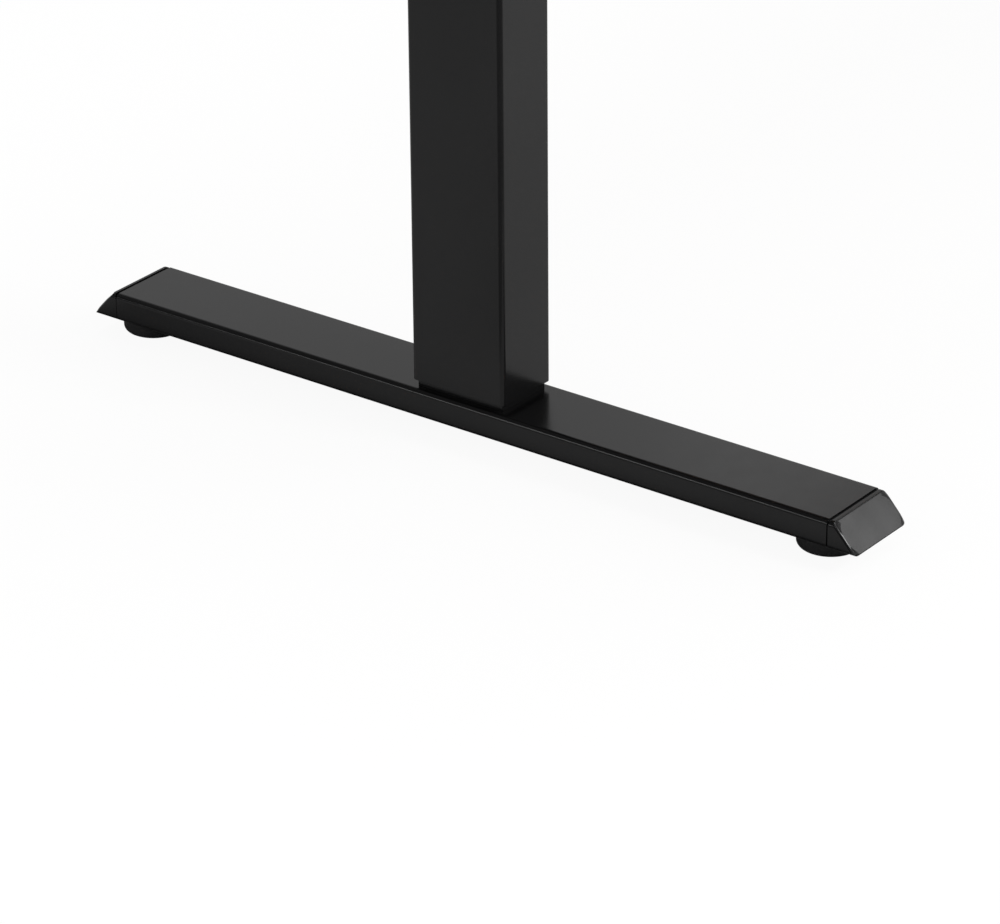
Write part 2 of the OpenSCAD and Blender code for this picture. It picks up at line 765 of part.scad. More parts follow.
module grommet_caps() {
    color("#232324") at_grommets() translate([0, 0, desk_h - cap_t]) difference() {
        cylinder(r = sleeve_in_r - grommet_gap, h = cap_t);
        translate([-cable_w / 2, sleeve_in_r - cable_reach, -cut])
            cube([cable_w, 2 * cable_reach, cap_t + 2 * cut]);
    }
}

// ---- Control box ----

// A tray under the desktop, open at the top, with four sockets in its thick back wall
module control_box_housing() {
    color("#1a1a1b") translate([0, box_y0, box_z0]) difference() {
        translate([-box_w / 2, 0, 0]) cube([box_w, box_d, box_h]);
        translate([-box_w / 2 + box_wall, box_wall, box_wall])
            cube([box_w - 2 * box_wall, box_d - box_wall - box_back, box_h]);
        for (s = sockets) translate([s[0] - s[1] / 2, box_d - s[3], (box_h - s[2]) / 2])
            cube([s[1], s[3] + cut, s[2]]);
    }
}

module control_box_cover() {
    color("#1e1e1f") difference() {
        translate([-box_w / 2 - box_ear, box_y0 + cover_in, top_z0 - box_cover_t])
            cube([box_w + 2 * box_ear, box_d - 2 * cover_in, box_cover_t]);
        at_box_screws() translate([0, 0, top_z0 - box_cover_t - cut])
            cylinder(d = wood_clear, h = box_cover_t + 2 * cut);
    }
}

// The control board with its larger parts, and the handset's board behind the buttons
module circuit_boards() {
    board_w = box_w - 2 * box_wall - 2 * board_in;
    board_d = box_d - box_wall - box_back - 2 * board_in;
    post_h = 4;
    post_in = [8, 6];                     // post centres, from the board's corners
    relay = [24, 20, 17];
    capacitor_d = 16;
    capacitor_h = 18;
    heat_sink = [28, 30, 8];
    color("#2f6b3a") {
        translate([-board_w / 2, box_y0 + box_wall + board_in, box_z0 + box_wall]) {
            translate([0, 0, post_h]) cube([board_w, board_d, board_t]);
            for (x = [post_in[0], board_w - post_in[0]], y = [post_in[1], board_d - post_in[1]])
                translate([x, y, 0]) cylinder(d = 6, h = post_h + board_t / 2);
            translate([0, 0, post_h + board_t / 2]) {
                for (x = [30, 62]) translate([x, 14, 0]) cube(relay);
                for (x = [110, 136, 162]) translate([x, board_d / 2, 0])
                    cylinder(d = capacitor_d, h = capacitor_h);
                translate([178, 12, 0]) cube(heat_sink);
            }
        }
        translate([handset_in_x, face_y + board_y, handset_in_z])
            cube([handset_w - 2 * handset_wall, board_t, handset_h - 2 * handset_wall]);
    }
}

// ---- Handset ----

// Draws on the handset's face, +Z out towards the user
module at_handset_face() {
    translate([handset_x, face_y, handset_z]) rotate([90, 0, 0]) children();
}

// A shallow box under the desktop's front edge, its face upright behind the edge
module handset_case() {
    inside_h = handset_h - 2 * handset_wall;
    color("#1d1d1f") difference() {
        translate([handset_x, face_y + handset_d / 2, top_z0 - handset_h]) linear_extrude(handset_h)
            rounded_rect(handset_w, handset_d, handset_r);
        translate([handset_in_x, face_y + handset_wall, handset_in_z])
            cube([handset_w - 2 * handset_wall, handset_d - 2 * handset_wall, inside_h]);
        at_handset_face() translate([0, 0, -handset_wall - cut]) {
            for (x = button_xs) translate([x, 0, 0])
                cylinder(d = button_d + 2 * run_gap, h = handset_wall + 2 * cut);
            translate([display_x - display_w / 2, -display_h / 2, 0])
                cube([display_w, display_h, handset_wall + 2 * cut]);
        }
        at_handset_screws() {
            translate([0, 0, top_z0 - handset_wall - cut])
                cylinder(d = wood_clear, h = handset_wall + 2 * cut);
            translate([0, 0, top_z0 - handset_h - cut])
                cylinder(d = wood_head_d + 2, h = handset_wall + 2 * cut);
        }
    }
}

module handset_display() {
    color("#0b0d10") at_handset_face() {
        translate([display_x - display_w / 2 + display_gap, -display_h / 2 + display_gap, -handset_wall])
            cube([display_w - 2 * display_gap, display_h - 2 * display_gap, handset_wall - display_sunk]);
        translate([display_x - display_w / 2, -display_h / 2, -handset_wall - display_flange_t])
            translate([-display_flange, -display_flange, 0])
                cube([display_w + 2 * display_flange, display_h + 2 * display_flange, display_flange_t]);
    }
}

// One button: a round cap through the face and a flange that keeps it behind the face
module button(place) {
    color("#e8e8e6") at_handset_face() translate([button_xs[place], 0, 0]) {
        translate([0, 0, -handset_wall - flange_gap - flange_t])
            cylinder(d = button_d, h = handset_wall + flange_gap + flange_t + button_out);
        translate([0, 0, -handset_wall - flange_gap - flange_t])
            cylinder(r = button_d / 2 + flange_over, h = flange_t);
    }
}

at_leg("left") foot_tube();  // left_foot_tube
at_leg("left") end_caps();  // left_end_caps
at_leg("left") weld_nuts();  // left_weld_nuts
at_leg("left") column_base();  // left_column_base
at_leg("left") base_screws();  // left_base_screws
at_leg("left") outer_tube();  // left_outer_tube
at_leg("left") column_collar();  // left_column_collar
at_leg("left") push_tube();  // left_push_tube
at_leg("left") spindle_nut();  // left_spindle_nut
at_leg("right") foot_tube();  // right_foot_tube
at_leg("right") end_caps();  // right_end_caps
at_leg("right") weld_nuts();  // right_weld_nuts
at_leg("right") column_base();  // right_column_base
at_leg("right") base_screws();  // right_base_screws
at_leg("right") outer_tube();  // right_outer_tube
at_leg("right") column_collar();  // right_column_collar
at_leg("right") push_tube();  // right_push_tube
at_leg("right") spindle_nut();  // right_spindle_nut
at_leg("left") at_glide("front") glide_pad();  // left_front_pad
at_leg("left") at_glide("front") glide_stud();  // left_front_stud
at_leg("left") at_glide("back") glide_pad();  // left_back_pad
at_leg("left") at_glide("back") glide_stud();  // left_back_stud
at_leg("right") at_glide("front") glide_pad();  // right_front_pad
at_leg("right") at_glide("front") glide_stud();  // right_front_stud
at_leg("right") at_glide("back") glide_pad();  // right_back_pad
at_leg("right") at_glide("back") glide_stud();  // right_back_stud
at_leg("left") spindle();  // left_spindle
at_leg("left") worm_wheel();  // left_worm_wheel
at_leg("left") worm_shaft();  // left_worm_shaft
at_leg("right") spindle();  // right_spindle
at_leg("right") worm_wheel();  // right_worm_wheel
at_leg("right") worm_shaft();  // right_worm_shaft
at_leg("left") inner_tube();  // left_inner_tube
at_leg("right") inner_tube();  // right_inner_tube
at_both_legs() slide_sleeve();  // slide_sleeves
at_both_legs() spindle_bearing();  // spindle_bearings
at_both_legs() gear_case();  // gear_cases
at_both_legs() motor();  // motors
at_leg("left") column_head();  // left_column_head
at_leg("right") column_head();  // right_column_head
at_leg("left") side_arm();  // left_side_arm
at_leg("right") side_arm();  // right_side_arm
crossbeam_rails();
frame_bolts();
desktop();
edge_band();
desktop_screws();
rubber_pads();
grommet_sleeves();
grommet_caps();
control_box_housing();
control_box_cover();
circuit_boards();
handset_case();
handset_display();
button(0);  // down_button
button(1);  // up_button
button(2);  // memory_1_button
button(3);  // memory_2_button
button(4);  // memory_3_button
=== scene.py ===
"""Looks of a height adjustable desk, built around its packed construction.

Every length is in metres, in the frame of the construction: +X to the user's
right along the desktop, +Y away from the user, +Z up from the floor.
"""

import functools
import logging
import math
from dataclasses import dataclass, replace
from enum import Enum
from typing import Any, Iterable, Sequence

import bmesh
import bpy
from mathutils import Matrix, Vector

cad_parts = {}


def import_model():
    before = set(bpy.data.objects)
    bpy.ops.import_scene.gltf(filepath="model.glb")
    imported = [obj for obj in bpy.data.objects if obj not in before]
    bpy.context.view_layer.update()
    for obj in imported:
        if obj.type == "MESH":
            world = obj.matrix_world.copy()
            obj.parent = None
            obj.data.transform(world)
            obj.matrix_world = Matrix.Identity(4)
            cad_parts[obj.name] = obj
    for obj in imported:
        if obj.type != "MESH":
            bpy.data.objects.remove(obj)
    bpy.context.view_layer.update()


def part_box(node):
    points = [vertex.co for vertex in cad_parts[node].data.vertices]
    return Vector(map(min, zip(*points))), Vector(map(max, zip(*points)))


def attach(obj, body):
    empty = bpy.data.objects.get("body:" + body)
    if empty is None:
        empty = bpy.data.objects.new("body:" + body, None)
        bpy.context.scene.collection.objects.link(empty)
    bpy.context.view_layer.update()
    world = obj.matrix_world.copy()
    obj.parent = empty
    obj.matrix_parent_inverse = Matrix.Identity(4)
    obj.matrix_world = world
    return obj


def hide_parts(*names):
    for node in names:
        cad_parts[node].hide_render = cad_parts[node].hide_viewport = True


LOG = logging.getLogger("desk")
MM = 0.001
SHARP_ANGLE = math.radians(32)  # an edge that bends more is sharp
FLAT_ANGLE = math.radians(0.5)  # faces that bend less count as one
SAME_POINT = 1e-7  # points of a new shape that lie closer are one
SAME_CORNER = 1e-6  # corners of a construction node that lie closer are one
POLE = 0.05 * MM  # the radius at which a turned shape closes on its axis
LEAST_RADIUS = 0.1 * MM  # the sharpest corner that a section may have
END_ZONE = 0.2 * MM  # how far from a screw's end its points still count as the end's

Pair = tuple[float, float]
Triple = tuple[float, float, float]
Output = bpy.types.NodeSocket


# ---------------------------------------------------------------- names and places


class Choice(Enum):
    """A choice that the construction's names hold in small letters."""

    @property
    def word(self) -> str:
        """The choice's name as the construction spells it."""
        return self.name.lower()


class Side(Choice):
    """The desk's two legs; the value is the sign of the leg's X."""

    LEFT = -1
    RIGHT = 1


class End(Choice):
    """The two ends of a foot; the value is the sign of the end's Y."""

    FRONT = -1
    BACK = 1


class Axis(Enum):
    """The direction that a section is drawn along."""

    X = 0
    Y = 1
    Z = 2

    def point(self, u: float, v: float, w: float) -> Vector:
        """Places a point of a section.

        Args:
            u: The section's first coordinate.
            v: The section's second coordinate.
            w: The distance along this axis.

        Returns:
            The point in the desk's frame.
        """
        parts = [u, v]
        parts.insert(self.value, w)
        return Vector(parts)

    def flat(self, point: Vector) -> Pair:
        """A point's two coordinates in a section across this axis."""
        return tuple(part for index, part in enumerate(point) if index != self.value)


@dataclass(frozen=True)
class Span:
    """The box of a construction node, or of one of its solids."""

    lo: Vector
    hi: Vector

    @classmethod
    def of(cls, node: str) -> "Span":
        """The box of a whole node."""
        return cls(*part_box(node))

    @classmethod
    def around(cls, points: Iterable[Vector]) -> "Span":
        """The box round some points."""
        rows = list(zip(*points))
        return cls(Vector([min(row) for row in rows]), Vector([max(row) for row in rows]))

    @property
    def centre(self) -> Vector:
        """The middle of the box."""
        return (self.lo + self.hi) / 2

    @property
    def size(self) -> Vector:
        """The box's three lengths."""
        return self.hi - self.lo


# ---------------------------------------------------------------- node trees


class Nodes:
    """A thin wrapper that adds and links the nodes of a tree."""

    def __init__(self, tree: bpy.types.NodeTree) -> None:
        """Wraps a tree.

        Args:
            tree: The shader or geometry tree to build in.
        """
        self.tree = tree

    def add(self, kind: str, sockets: dict[Any, Any] | None = None,
            **settings: Any) -> bpy.types.Node:
        """Adds a node.

        Args:
            kind: The node's type.
            sockets: Values of its inputs by name or index; an output socket is linked.
            **settings: The node's own properties.

        Returns:
            The new node.
        """
        node = self.tree.nodes.new(kind)
        for key, value in settings.items():
            setattr(node, key, value)
        for key, value in (sockets or {}).items():
            self.feed(node.inputs[key], value)
        return node

    def feed(self, socket: bpy.types.NodeSocket, value: Any) -> None:
        """Links an input to an output socket, or sets its value; colours are opaque.

        Args:
            socket: The input.
            value: An output socket, or a plain value.
        """
        if isinstance(value, bpy.types.NodeSocket):
            self.tree.links.new(value, socket)
        else:
            socket.default_value = (*value, 1.0) if socket.type == "RGBA" else value

    def math(self, operation: str, first: Any, second: Any = 0.0) -> Output:
        """Adds a Math node and gives its result."""
        return self.add("ShaderNodeMath", {0: first, 1: second}, operation=operation).outputs[0]

    def product(self, first: Any, *others: Any) -> Output:
        """Multiplies values, in order.

        Args:
            first: The first value.
            *others: What it is multiplied by.

        Returns:
            The product.
        """
        for other in others:
            first = self.math("MULTIPLY", first, other)
        return first

    def vectors(self, operation: str, first: Any, second: Any = (0.0, 0.0, 0.0)) -> Output:
        """Adds a Vector Math node and gives its result."""
        node = self.add("ShaderNodeVectorMath", {0: first, 1: second}, operation=operation)
        return node.outputs["Value" if operation == "DOT_PRODUCT" else "Vector"]

    def vector(self, x: Any = 0.0, y: Any = 0.0, z: Any = 0.0) -> Output:
        """Makes a vector of three values."""
        return self.add("ShaderNodeCombineXYZ", {0: x, 1: y, 2: z}).outputs[0]

    def parts(self, vector: Output) -> list[Output]:
        """The three values of a vector."""
        return list(self.add("ShaderNodeSeparateXYZ", {0: vector}).outputs)

    def spread(self, value: Output, start: float, stop: float, low: float = 0.0,
               high: float = 1.0) -> Output:
        """Turns the range from start to stop into low to high, level beyond both."""
        return self.add("ShaderNodeMapRange", {"Value": value, "From Min": start, "From Max": stop,
                                               "To Min": low, "To Max": high}).outputs[0]

    def mix(self, share: Any, first: Any, second: Any, kind: str = "FLOAT") -> Output:
        """Mixes two values, vectors or colours; the kind is the node's data type.

        Args:
            share: How much of the second there is.
            first: The first.
            second: The second.
            kind: The node's data type.

        Returns:
            The mix.
        """
        place, result = {"FLOAT": (2, 0), "VECTOR": (4, 1), "RGBA": (6, 2)}[kind]
        return self.add("ShaderNodeMix", {0: share, place: first, place + 1: second},
                        data_type=kind).outputs[result]


class ShaderTree(Nodes):
    """The tree of one material, with the patterns that several finishes share."""

    def __init__(self, name: str) -> None:
        """Starts a material with a plain Principled shader.

        Args:
            name: The material's name.
        """
        self.material = bpy.data.materials.new(name)
        self.material.use_nodes = True
        super().__init__(self.material.node_tree)
        self.shader = self.tree.nodes["Principled BSDF"]
        self.place = self.add("ShaderNodeTexCoord").outputs["Object"]

    def set(self, **values: Any) -> None:
        """Sets the shader's own inputs; an underscore in a name stands for a space."""
        for key, value in values.items():
            self.feed(self.shader.inputs[key.replace("_", " ")], value)

    def stretched(self, scale: Triple, place: Output | None = None) -> Output:
        """The object's coordinates, or other ones, scaled on each axis."""
        return self.add("ShaderNodeMapping", {"Vector": place or self.place,
                                              "Scale": scale}).outputs[0]

    def noise(self, scale: float, detail: float, place: Output | None = None) -> Output:
        """A noise pattern.

        Args:
            scale: Repeats to the metre.
            detail: Number of finer layers.
            place: The coordinates it reads, the object's own by default.

        Returns:
            The pattern's value, from 0 to 1.
        """
        return self.add("ShaderNodeTexNoise", {"Vector": place or self.place, "Scale": scale,
                                               "Detail": detail}).outputs[0]

    def between(self, pattern: Output, low: float, high: float) -> Output:
        """Spreads a noise pattern's usual range over two values."""
        return self.spread(pattern, 0.3, 0.7, low, high)

    def ramp(self, pattern: Output, *stops: tuple[float, Triple]) -> Output:
        """Colours a pattern.

        Args:
            pattern: A value from 0 to 1.
            *stops: Places on the ramp and their colours, in rising order.

        Returns:
            The colour.
        """
        node = self.add("ShaderNodeValToRGB", {"Fac": pattern})
        marks = node.color_ramp.elements
        while len(marks) < len(stops):
            marks.new(0.5)
        for mark, (place, colour) in zip(marks, stops):
            mark.position = place
            mark.color = (*colour, 1.0)
        return node.outputs["Color"]

    def relief(self, pattern: Output, depth: float) -> Output:
        """Turns a pattern into relief of a depth in metres and gives the bent normal."""
        return self.add("ShaderNodeBump", {"Height": pattern, "Distance": depth,
                                           "Strength": 1.0}).outputs[0]


# ---------------------------------------------------------------- finishes


def shade(colour: Triple, share: float) -> Triple:
    """A colour made darker or lighter."""
    return tuple(channel * share for channel in colour)


@dataclass(frozen=True)
class Finish:
    """What every finish has: its name, a slot name, its colour and its roughness."""

    name: str
    slot: str
    colour: Triple
    roughness: float

    @functools.cache
    def material(self) -> bpy.types.Material:
        """The finish's material, made the first time it is asked for.

        Returns:
            The material.
        """
        tree = ShaderTree(self.name)
        tree.set(Base_Color=self.colour, Roughness=self.roughness)
        self.dress(tree)
        tree.material.diffuse_color = (*self.colour, 1.0)
        return tree.material

    def dress(self, tree: ShaderTree) -> None:
        """Adds the finish's own pattern; a finish of this base class has none."""


@dataclass(frozen=True)
class MouldedPlastic(Finish):
    """Injection moulded plastic with a fine eroded grain.

    The flow marks and the unevenness of the gloss each have a scale, a detail and a strength.
    """

    grain: float = 1400.0
    grain_detail: float = 2.0
    depth: float = 0.008 * MM
    gloss: float = 0.5
    marks: Triple = (25.0, 2.0, 0.12)
    unevenness: Triple = (45.0, 3.0, 0.03)

    def dress(self, tree: ShaderTree) -> None:
        """Adds the marks in the colour, the unevenness of the gloss and the grain.

        Args:
            tree: The material's tree.
        """
        scale, detail, strength = self.marks
        patches = tree.noise(scale, detail)
        gloss_scale, gloss_detail, swing = self.unevenness
        tree.set(Base_Color=tree.ramp(patches, (0.35, shade(self.colour, 1 - strength)),
                                      (0.65, shade(self.colour, 1 + strength))),
                 Roughness=tree.between(tree.noise(gloss_scale, gloss_detail),
                                        self.roughness - swing, self.roughness + swing),
                 Specular_IOR_Level=self.gloss,
                 Normal=tree.relief(tree.noise(self.grain, self.grain_detail), self.depth))


@dataclass(frozen=True)
class PowderCoat(MouldedPlastic):
    """Baked powder paint: a dark body with a soft gloss, and orange peel as its grain."""

    grain: float = 900.0
    grain_detail: float = 3.0
    depth: float = 0.0035 * MM
    gloss: float = 0.17
    marks: Triple = (14.0, 3.0, 0.15)
    unevenness: Triple = (60.0, 4.0, 0.02)


@dataclass(frozen=True)
class BareMetal(Finish):
    """Plated, turned or rolled metal with fine tool marks along one axis."""

    marks: Triple = (700.0, 700.0, 90.0)
    depth: float = 0.002 * MM

    def dress(self, tree: ShaderTree) -> None:
        """Adds the tool marks and a faint clouding of the plating.

        Args:
            tree: The material's tree.
        """
        streaks = tree.noise(1.0, 3.0, tree.stretched(self.marks))
        clouds = tree.noise(120.0, 3.0)
        tree.set(Base_Color=tree.ramp(clouds, (0.3, shade(self.colour, 0.82)), (0.7, self.colour)),
                 Metallic=1.0,
                 Roughness=tree.between(streaks, self.roughness - 0.06, self.roughness + 0.08),
                 Normal=tree.relief(streaks, self.depth))


@dataclass(frozen=True)
class WoodLaminate(Finish):
    """Wood laminate, its grain along the desktop and round the corners on the edge band."""

    dark: Triple = (0.085, 0.041, 0.019)
    mid: Triple = (0.15, 0.076, 0.036)
    light: Triple = (0.215, 0.114, 0.056)

    def dress(self, tree: ShaderTree) -> None:
        """Adds figure, fibres and pores in colour, gloss and relief.

        Args:
            tree: The material's tree.
        """
        along = self.along(tree)
        warp = tree.noise(2.2, 3.0, tree.stretched((0.5, 1.6, 1.6), along))
        drift = tree.vector(0.0, tree.product(warp, 0.34), tree.product(warp, 0.1))
        bent = tree.vectors("ADD", along, drift)
        figure = tree.add("ShaderNodeTexWave", {
            "Vector": tree.stretched((0.12, 1.0, 1.0), bent), "Scale": 11.0, "Distortion": 3.0,
            "Detail": 4.0, "Detail Scale": 1.2, "Detail Roughness": 0.6},
            wave_type="BANDS", bands_direction="Y", wave_profile="SIN").outputs["Fac"]
        fibre = tree.noise(1.0, 4.0, tree.stretched((9.0, 420.0, 420.0), along))
        pores = tree.noise(1.0, 2.0, tree.stretched((45.0, 1500.0, 1500.0), along))
        patches = tree.noise(1.0, 2.0, tree.stretched((0.8, 5.0, 5.0), along))
        tone = tree.math("ADD", tree.product(figure, 0.22), tree.product(fibre, 0.5))
        tone = tree.math("ADD", tone, tree.product(patches, 0.28))
        body = tree.ramp(tone, (0.18, self.dark), (0.5, self.mid), (0.82, self.light))
        open_pores = tree.spread(pores, 0.62, 0.72)
        tree.set(Base_Color=tree.mix(tree.product(open_pores, 0.6), body, self.dark, "RGBA"),
                 Roughness=tree.between(fibre, self.roughness - 0.05, self.roughness + 0.07),
                 Specular_IOR_Level=0.4,
                 Normal=tree.relief(tree.math("SUBTRACT", fibre, open_pores), 0.012 * MM))

    @staticmethod
    def along(tree: ShaderTree) -> Output:
        """Coordinates with the grain along X, or along Y on faces that look along X.

        Args:
            tree: The material's tree.

        Returns:
            The coordinates.
        """
        x, y, z = tree.parts(tree.place)
        turned = tree.vector(y, x, z)
        normal = tree.parts(tree.add("ShaderNodeNewGeometry").outputs["True Normal"])[0]
        side_on = tree.math("GREATER_THAN", tree.math("ABSOLUTE", normal), 0.7)
        return tree.mix(side_on, tree.place, turned, "VECTOR")


@dataclass(frozen=True)
class CircuitLaminate(Finish):
    """Green solder mask over copper tracks."""

    def dress(self, tree: ShaderTree) -> None:
        """Adds tracks as a fine block pattern, slightly raised.

        Args:
            tree: The material's tree.
        """
        tracks = tree.add("ShaderNodeTexBrick", {
            "Vector": tree.place, "Scale": 90.0, "Mortar Size": 0.08, "Color1": (0.0, 0.0, 0.0),
            "Color2": (0.3, 0.3, 0.3), "Mortar": (1.0, 1.0, 1.0)}).outputs["Color"]
        copper = shade(self.colour, 2.1)
        tree.set(Base_Color=tree.mix(tracks, self.colour, copper, "RGBA"),
                 Normal=tree.relief(tracks, 0.01 * MM))


@dataclass(frozen=True)
class Lens(Finish):
    """Smoked clear plastic, polished, over a dark display."""

    def dress(self, tree: ShaderTree) -> None:
        """Adds a polished coat and a faint haze in the gloss."""
        haze = tree.between(tree.noise(300.0, 3.0), self.roughness, self.roughness + 0.05)
        tree.set(Coat_Weight=1.0, Coat_Roughness=0.04, Roughness=haze)


@dataclass(frozen=True)
class LitSegment(Finish):
    """The lit strokes of the display's digits."""

    strength: float = 1.2

    def dress(self, tree: ShaderTree) -> None:
        """Lets the strokes glow, a little unevenly.

        Args:
            tree: The material's tree.
        """
        glow = tree.ramp(tree.noise(500.0, 1.0), (0.3, shade(self.colour, 0.85)),
                         (0.7, self.colour))
        tree.set(Emission_Color=glow, Emission_Strength=self.strength)


JET = (0.0036, 0.0036, 0.0038)
BLACK_COAT = PowderCoat("black_powder_coat", "powder_coat", JET, 0.2)
MOTOR_PAINT = PowderCoat("motor_enamel", "motor_paint", (0.03, 0.03, 0.032), 0.38, grain=600.0)
CAP_PLASTIC = MouldedPlastic("end_cap_plastic", "cap_plastic", JET, 0.2, gloss=0.17,
                             depth=0.003 * MM)
GLIDE_PLASTIC = MouldedPlastic("moulded_glide", "glide_plastic", (0.0135, 0.0135, 0.0138), 0.28,
                               gloss=0.17, depth=0.003 * MM)
COLLAR_PLASTIC = MouldedPlastic("moulded_collar", "collar_plastic", (0.02, 0.02, 0.021), 0.45)
GRAINED_PLASTIC = MouldedPlastic("grained_plastic", "control_plastic", (0.022, 0.022, 0.0235),
                                 0.48, depth=0.014 * MM)
GROMMET_PLASTIC = MouldedPlastic("moulded_grommet", "grommet_plastic", (0.024, 0.024, 0.025), 0.42)
GEAR_CASE_PLASTIC = MouldedPlastic("moulded_gear_case", "gear_case_plastic",
                                   (0.045, 0.045, 0.047), 0.5, grain=900.0, depth=0.015 * MM)
ACETAL = MouldedPlastic("natural_acetal", "guide_plastic", (0.74, 0.72, 0.65), 0.36,
                        depth=0.004 * MM)
BUTTON_PLASTIC = MouldedPlastic("moulded_button", "button_plastic", (0.6, 0.6, 0.59), 0.42,
                                depth=0.004 * MM)
BUTTON_PRINT = MouldedPlastic("button_print", "button_plastic", (0.03, 0.03, 0.032), 0.55,
                              depth=0.002 * MM)
BLACK_RUBBER = MouldedPlastic("black_rubber", "rubber", (0.022, 0.022, 0.022), 0.75,
                              grain=800.0, gloss=0.3)
LATHE_MARKS = (60.0, 60.0, 1500.0)
ZINC_PLATE = BareMetal("zinc_plate", "zinc_steel", (0.6, 0.6, 0.62), 0.32)
SPINDLE_STEEL = BareMetal("rolled_steel", "spindle_steel", (0.58, 0.58, 0.59), 0.26, LATHE_MARKS)
TURNED_BRASS = BareMetal("turned_brass", "nut_brass", (0.72, 0.53, 0.27), 0.28, LATHE_MARKS)
TOP_LAMINATE = WoodLaminate("walnut_laminate", "top_wood", (0.165, 0.082, 0.037), 0.44)
BAND_LAMINATE = WoodLaminate("walnut_edge_band", "band_wood", (0.15, 0.074, 0.034), 0.47,
                             dark=(0.075, 0.036, 0.017), mid=(0.135, 0.068, 0.032),
                             light=(0.19, 0.1, 0.049))
BOARD_LAMINATE = CircuitLaminate("circuit_board", "board_laminate", (0.02, 0.13, 0.05), 0.4)
SMOKED_LENS = Lens("smoked_lens", "display_lens", (0.004, 0.004, 0.005), 0.1)
LIT_SEGMENT = LitSegment("lit_segments", "display_lens", (0.75, 0.9, 1.0), 0.4)


# ---------------------------------------------------------------- mesh making


@dataclass(frozen=True)
class Section:
    """A rectangle with round corners, drawn across an axis."""

    width: float
    height: float
    radius: float
    centre: Pair
    steps: int

    @classmethod
    def over(cls, span: Span, axis: Axis, radius: float, steps: int) -> "Section":
        """The section of a box across an axis, its corners rounded."""
        return cls(*axis.flat(span.size), radius, axis.flat(span.centre), steps)

    def inset(self, depth: float) -> "Section":
        """The same section, drawn in by a depth on all sides."""
        return replace(self, width=self.width - 2 * depth, height=self.height - 2 * depth,
                       radius=max(self.radius - depth, LEAST_RADIUS))

    def turns(self) -> list[float]:
        """The direction of each of the section's points from its corner's centre."""
        return [math.pi / 2 * (corner + step / self.steps)
                for corner in range(4) for step in range(self.steps + 1)]

    def ring(self, axis: Axis, along: float) -> list[Vector]:
        """The section's points at a place along an axis.

        Args:
            axis: The axis.
            along: The place along it.

        Returns:
            The points, corner by corner.
        """
        points = []
        for index, turn in enumerate(self.turns()):
            corner = index // (self.steps + 1)
            across = (1, -1, -1, 1)[corner] * (self.width / 2 - self.radius)
            up = (1, 1, -1, -1)[corner] * (self.height / 2 - self.radius)
            points.append(axis.point(self.centre[0] + across + self.radius * math.cos(turn),
                                     self.centre[1] + up + self.radius * math.sin(turn), along))
        return points


def rim_profile(radius: float, steps: int = 4) -> list[Pair]:
    """A quarter round at the end of a bar.

    Args:
        radius: The rounding's radius.
        steps: How many facets it has.

    Returns:
        Pairs of how far the section is drawn in and how far it stands from the end,
        from the end inwards.
    """
    angles = [math.pi / 2 * step / steps for step in range(steps + 1)]
    return [(radius * (1 - math.sin(angle)), radius * (1 - math.cos(angle))) for angle in angles]


def circle(centre: Pair, radius: float, count: int, start: float = 0.0) -> list[Pair]:
    """Points at equal steps on a circle, from a starting angle on.

    Args:
        centre: The circle's middle.
        radius: Its radius.
        count: How many points.
        start: The first point's angle.

    Returns:
        The points.
    """
    turns = [start + 2 * math.pi * step / count for step in range(count)]
    return [(centre[0] + radius * math.cos(turn), centre[1] + radius * math.sin(turn))
            for turn in turns]


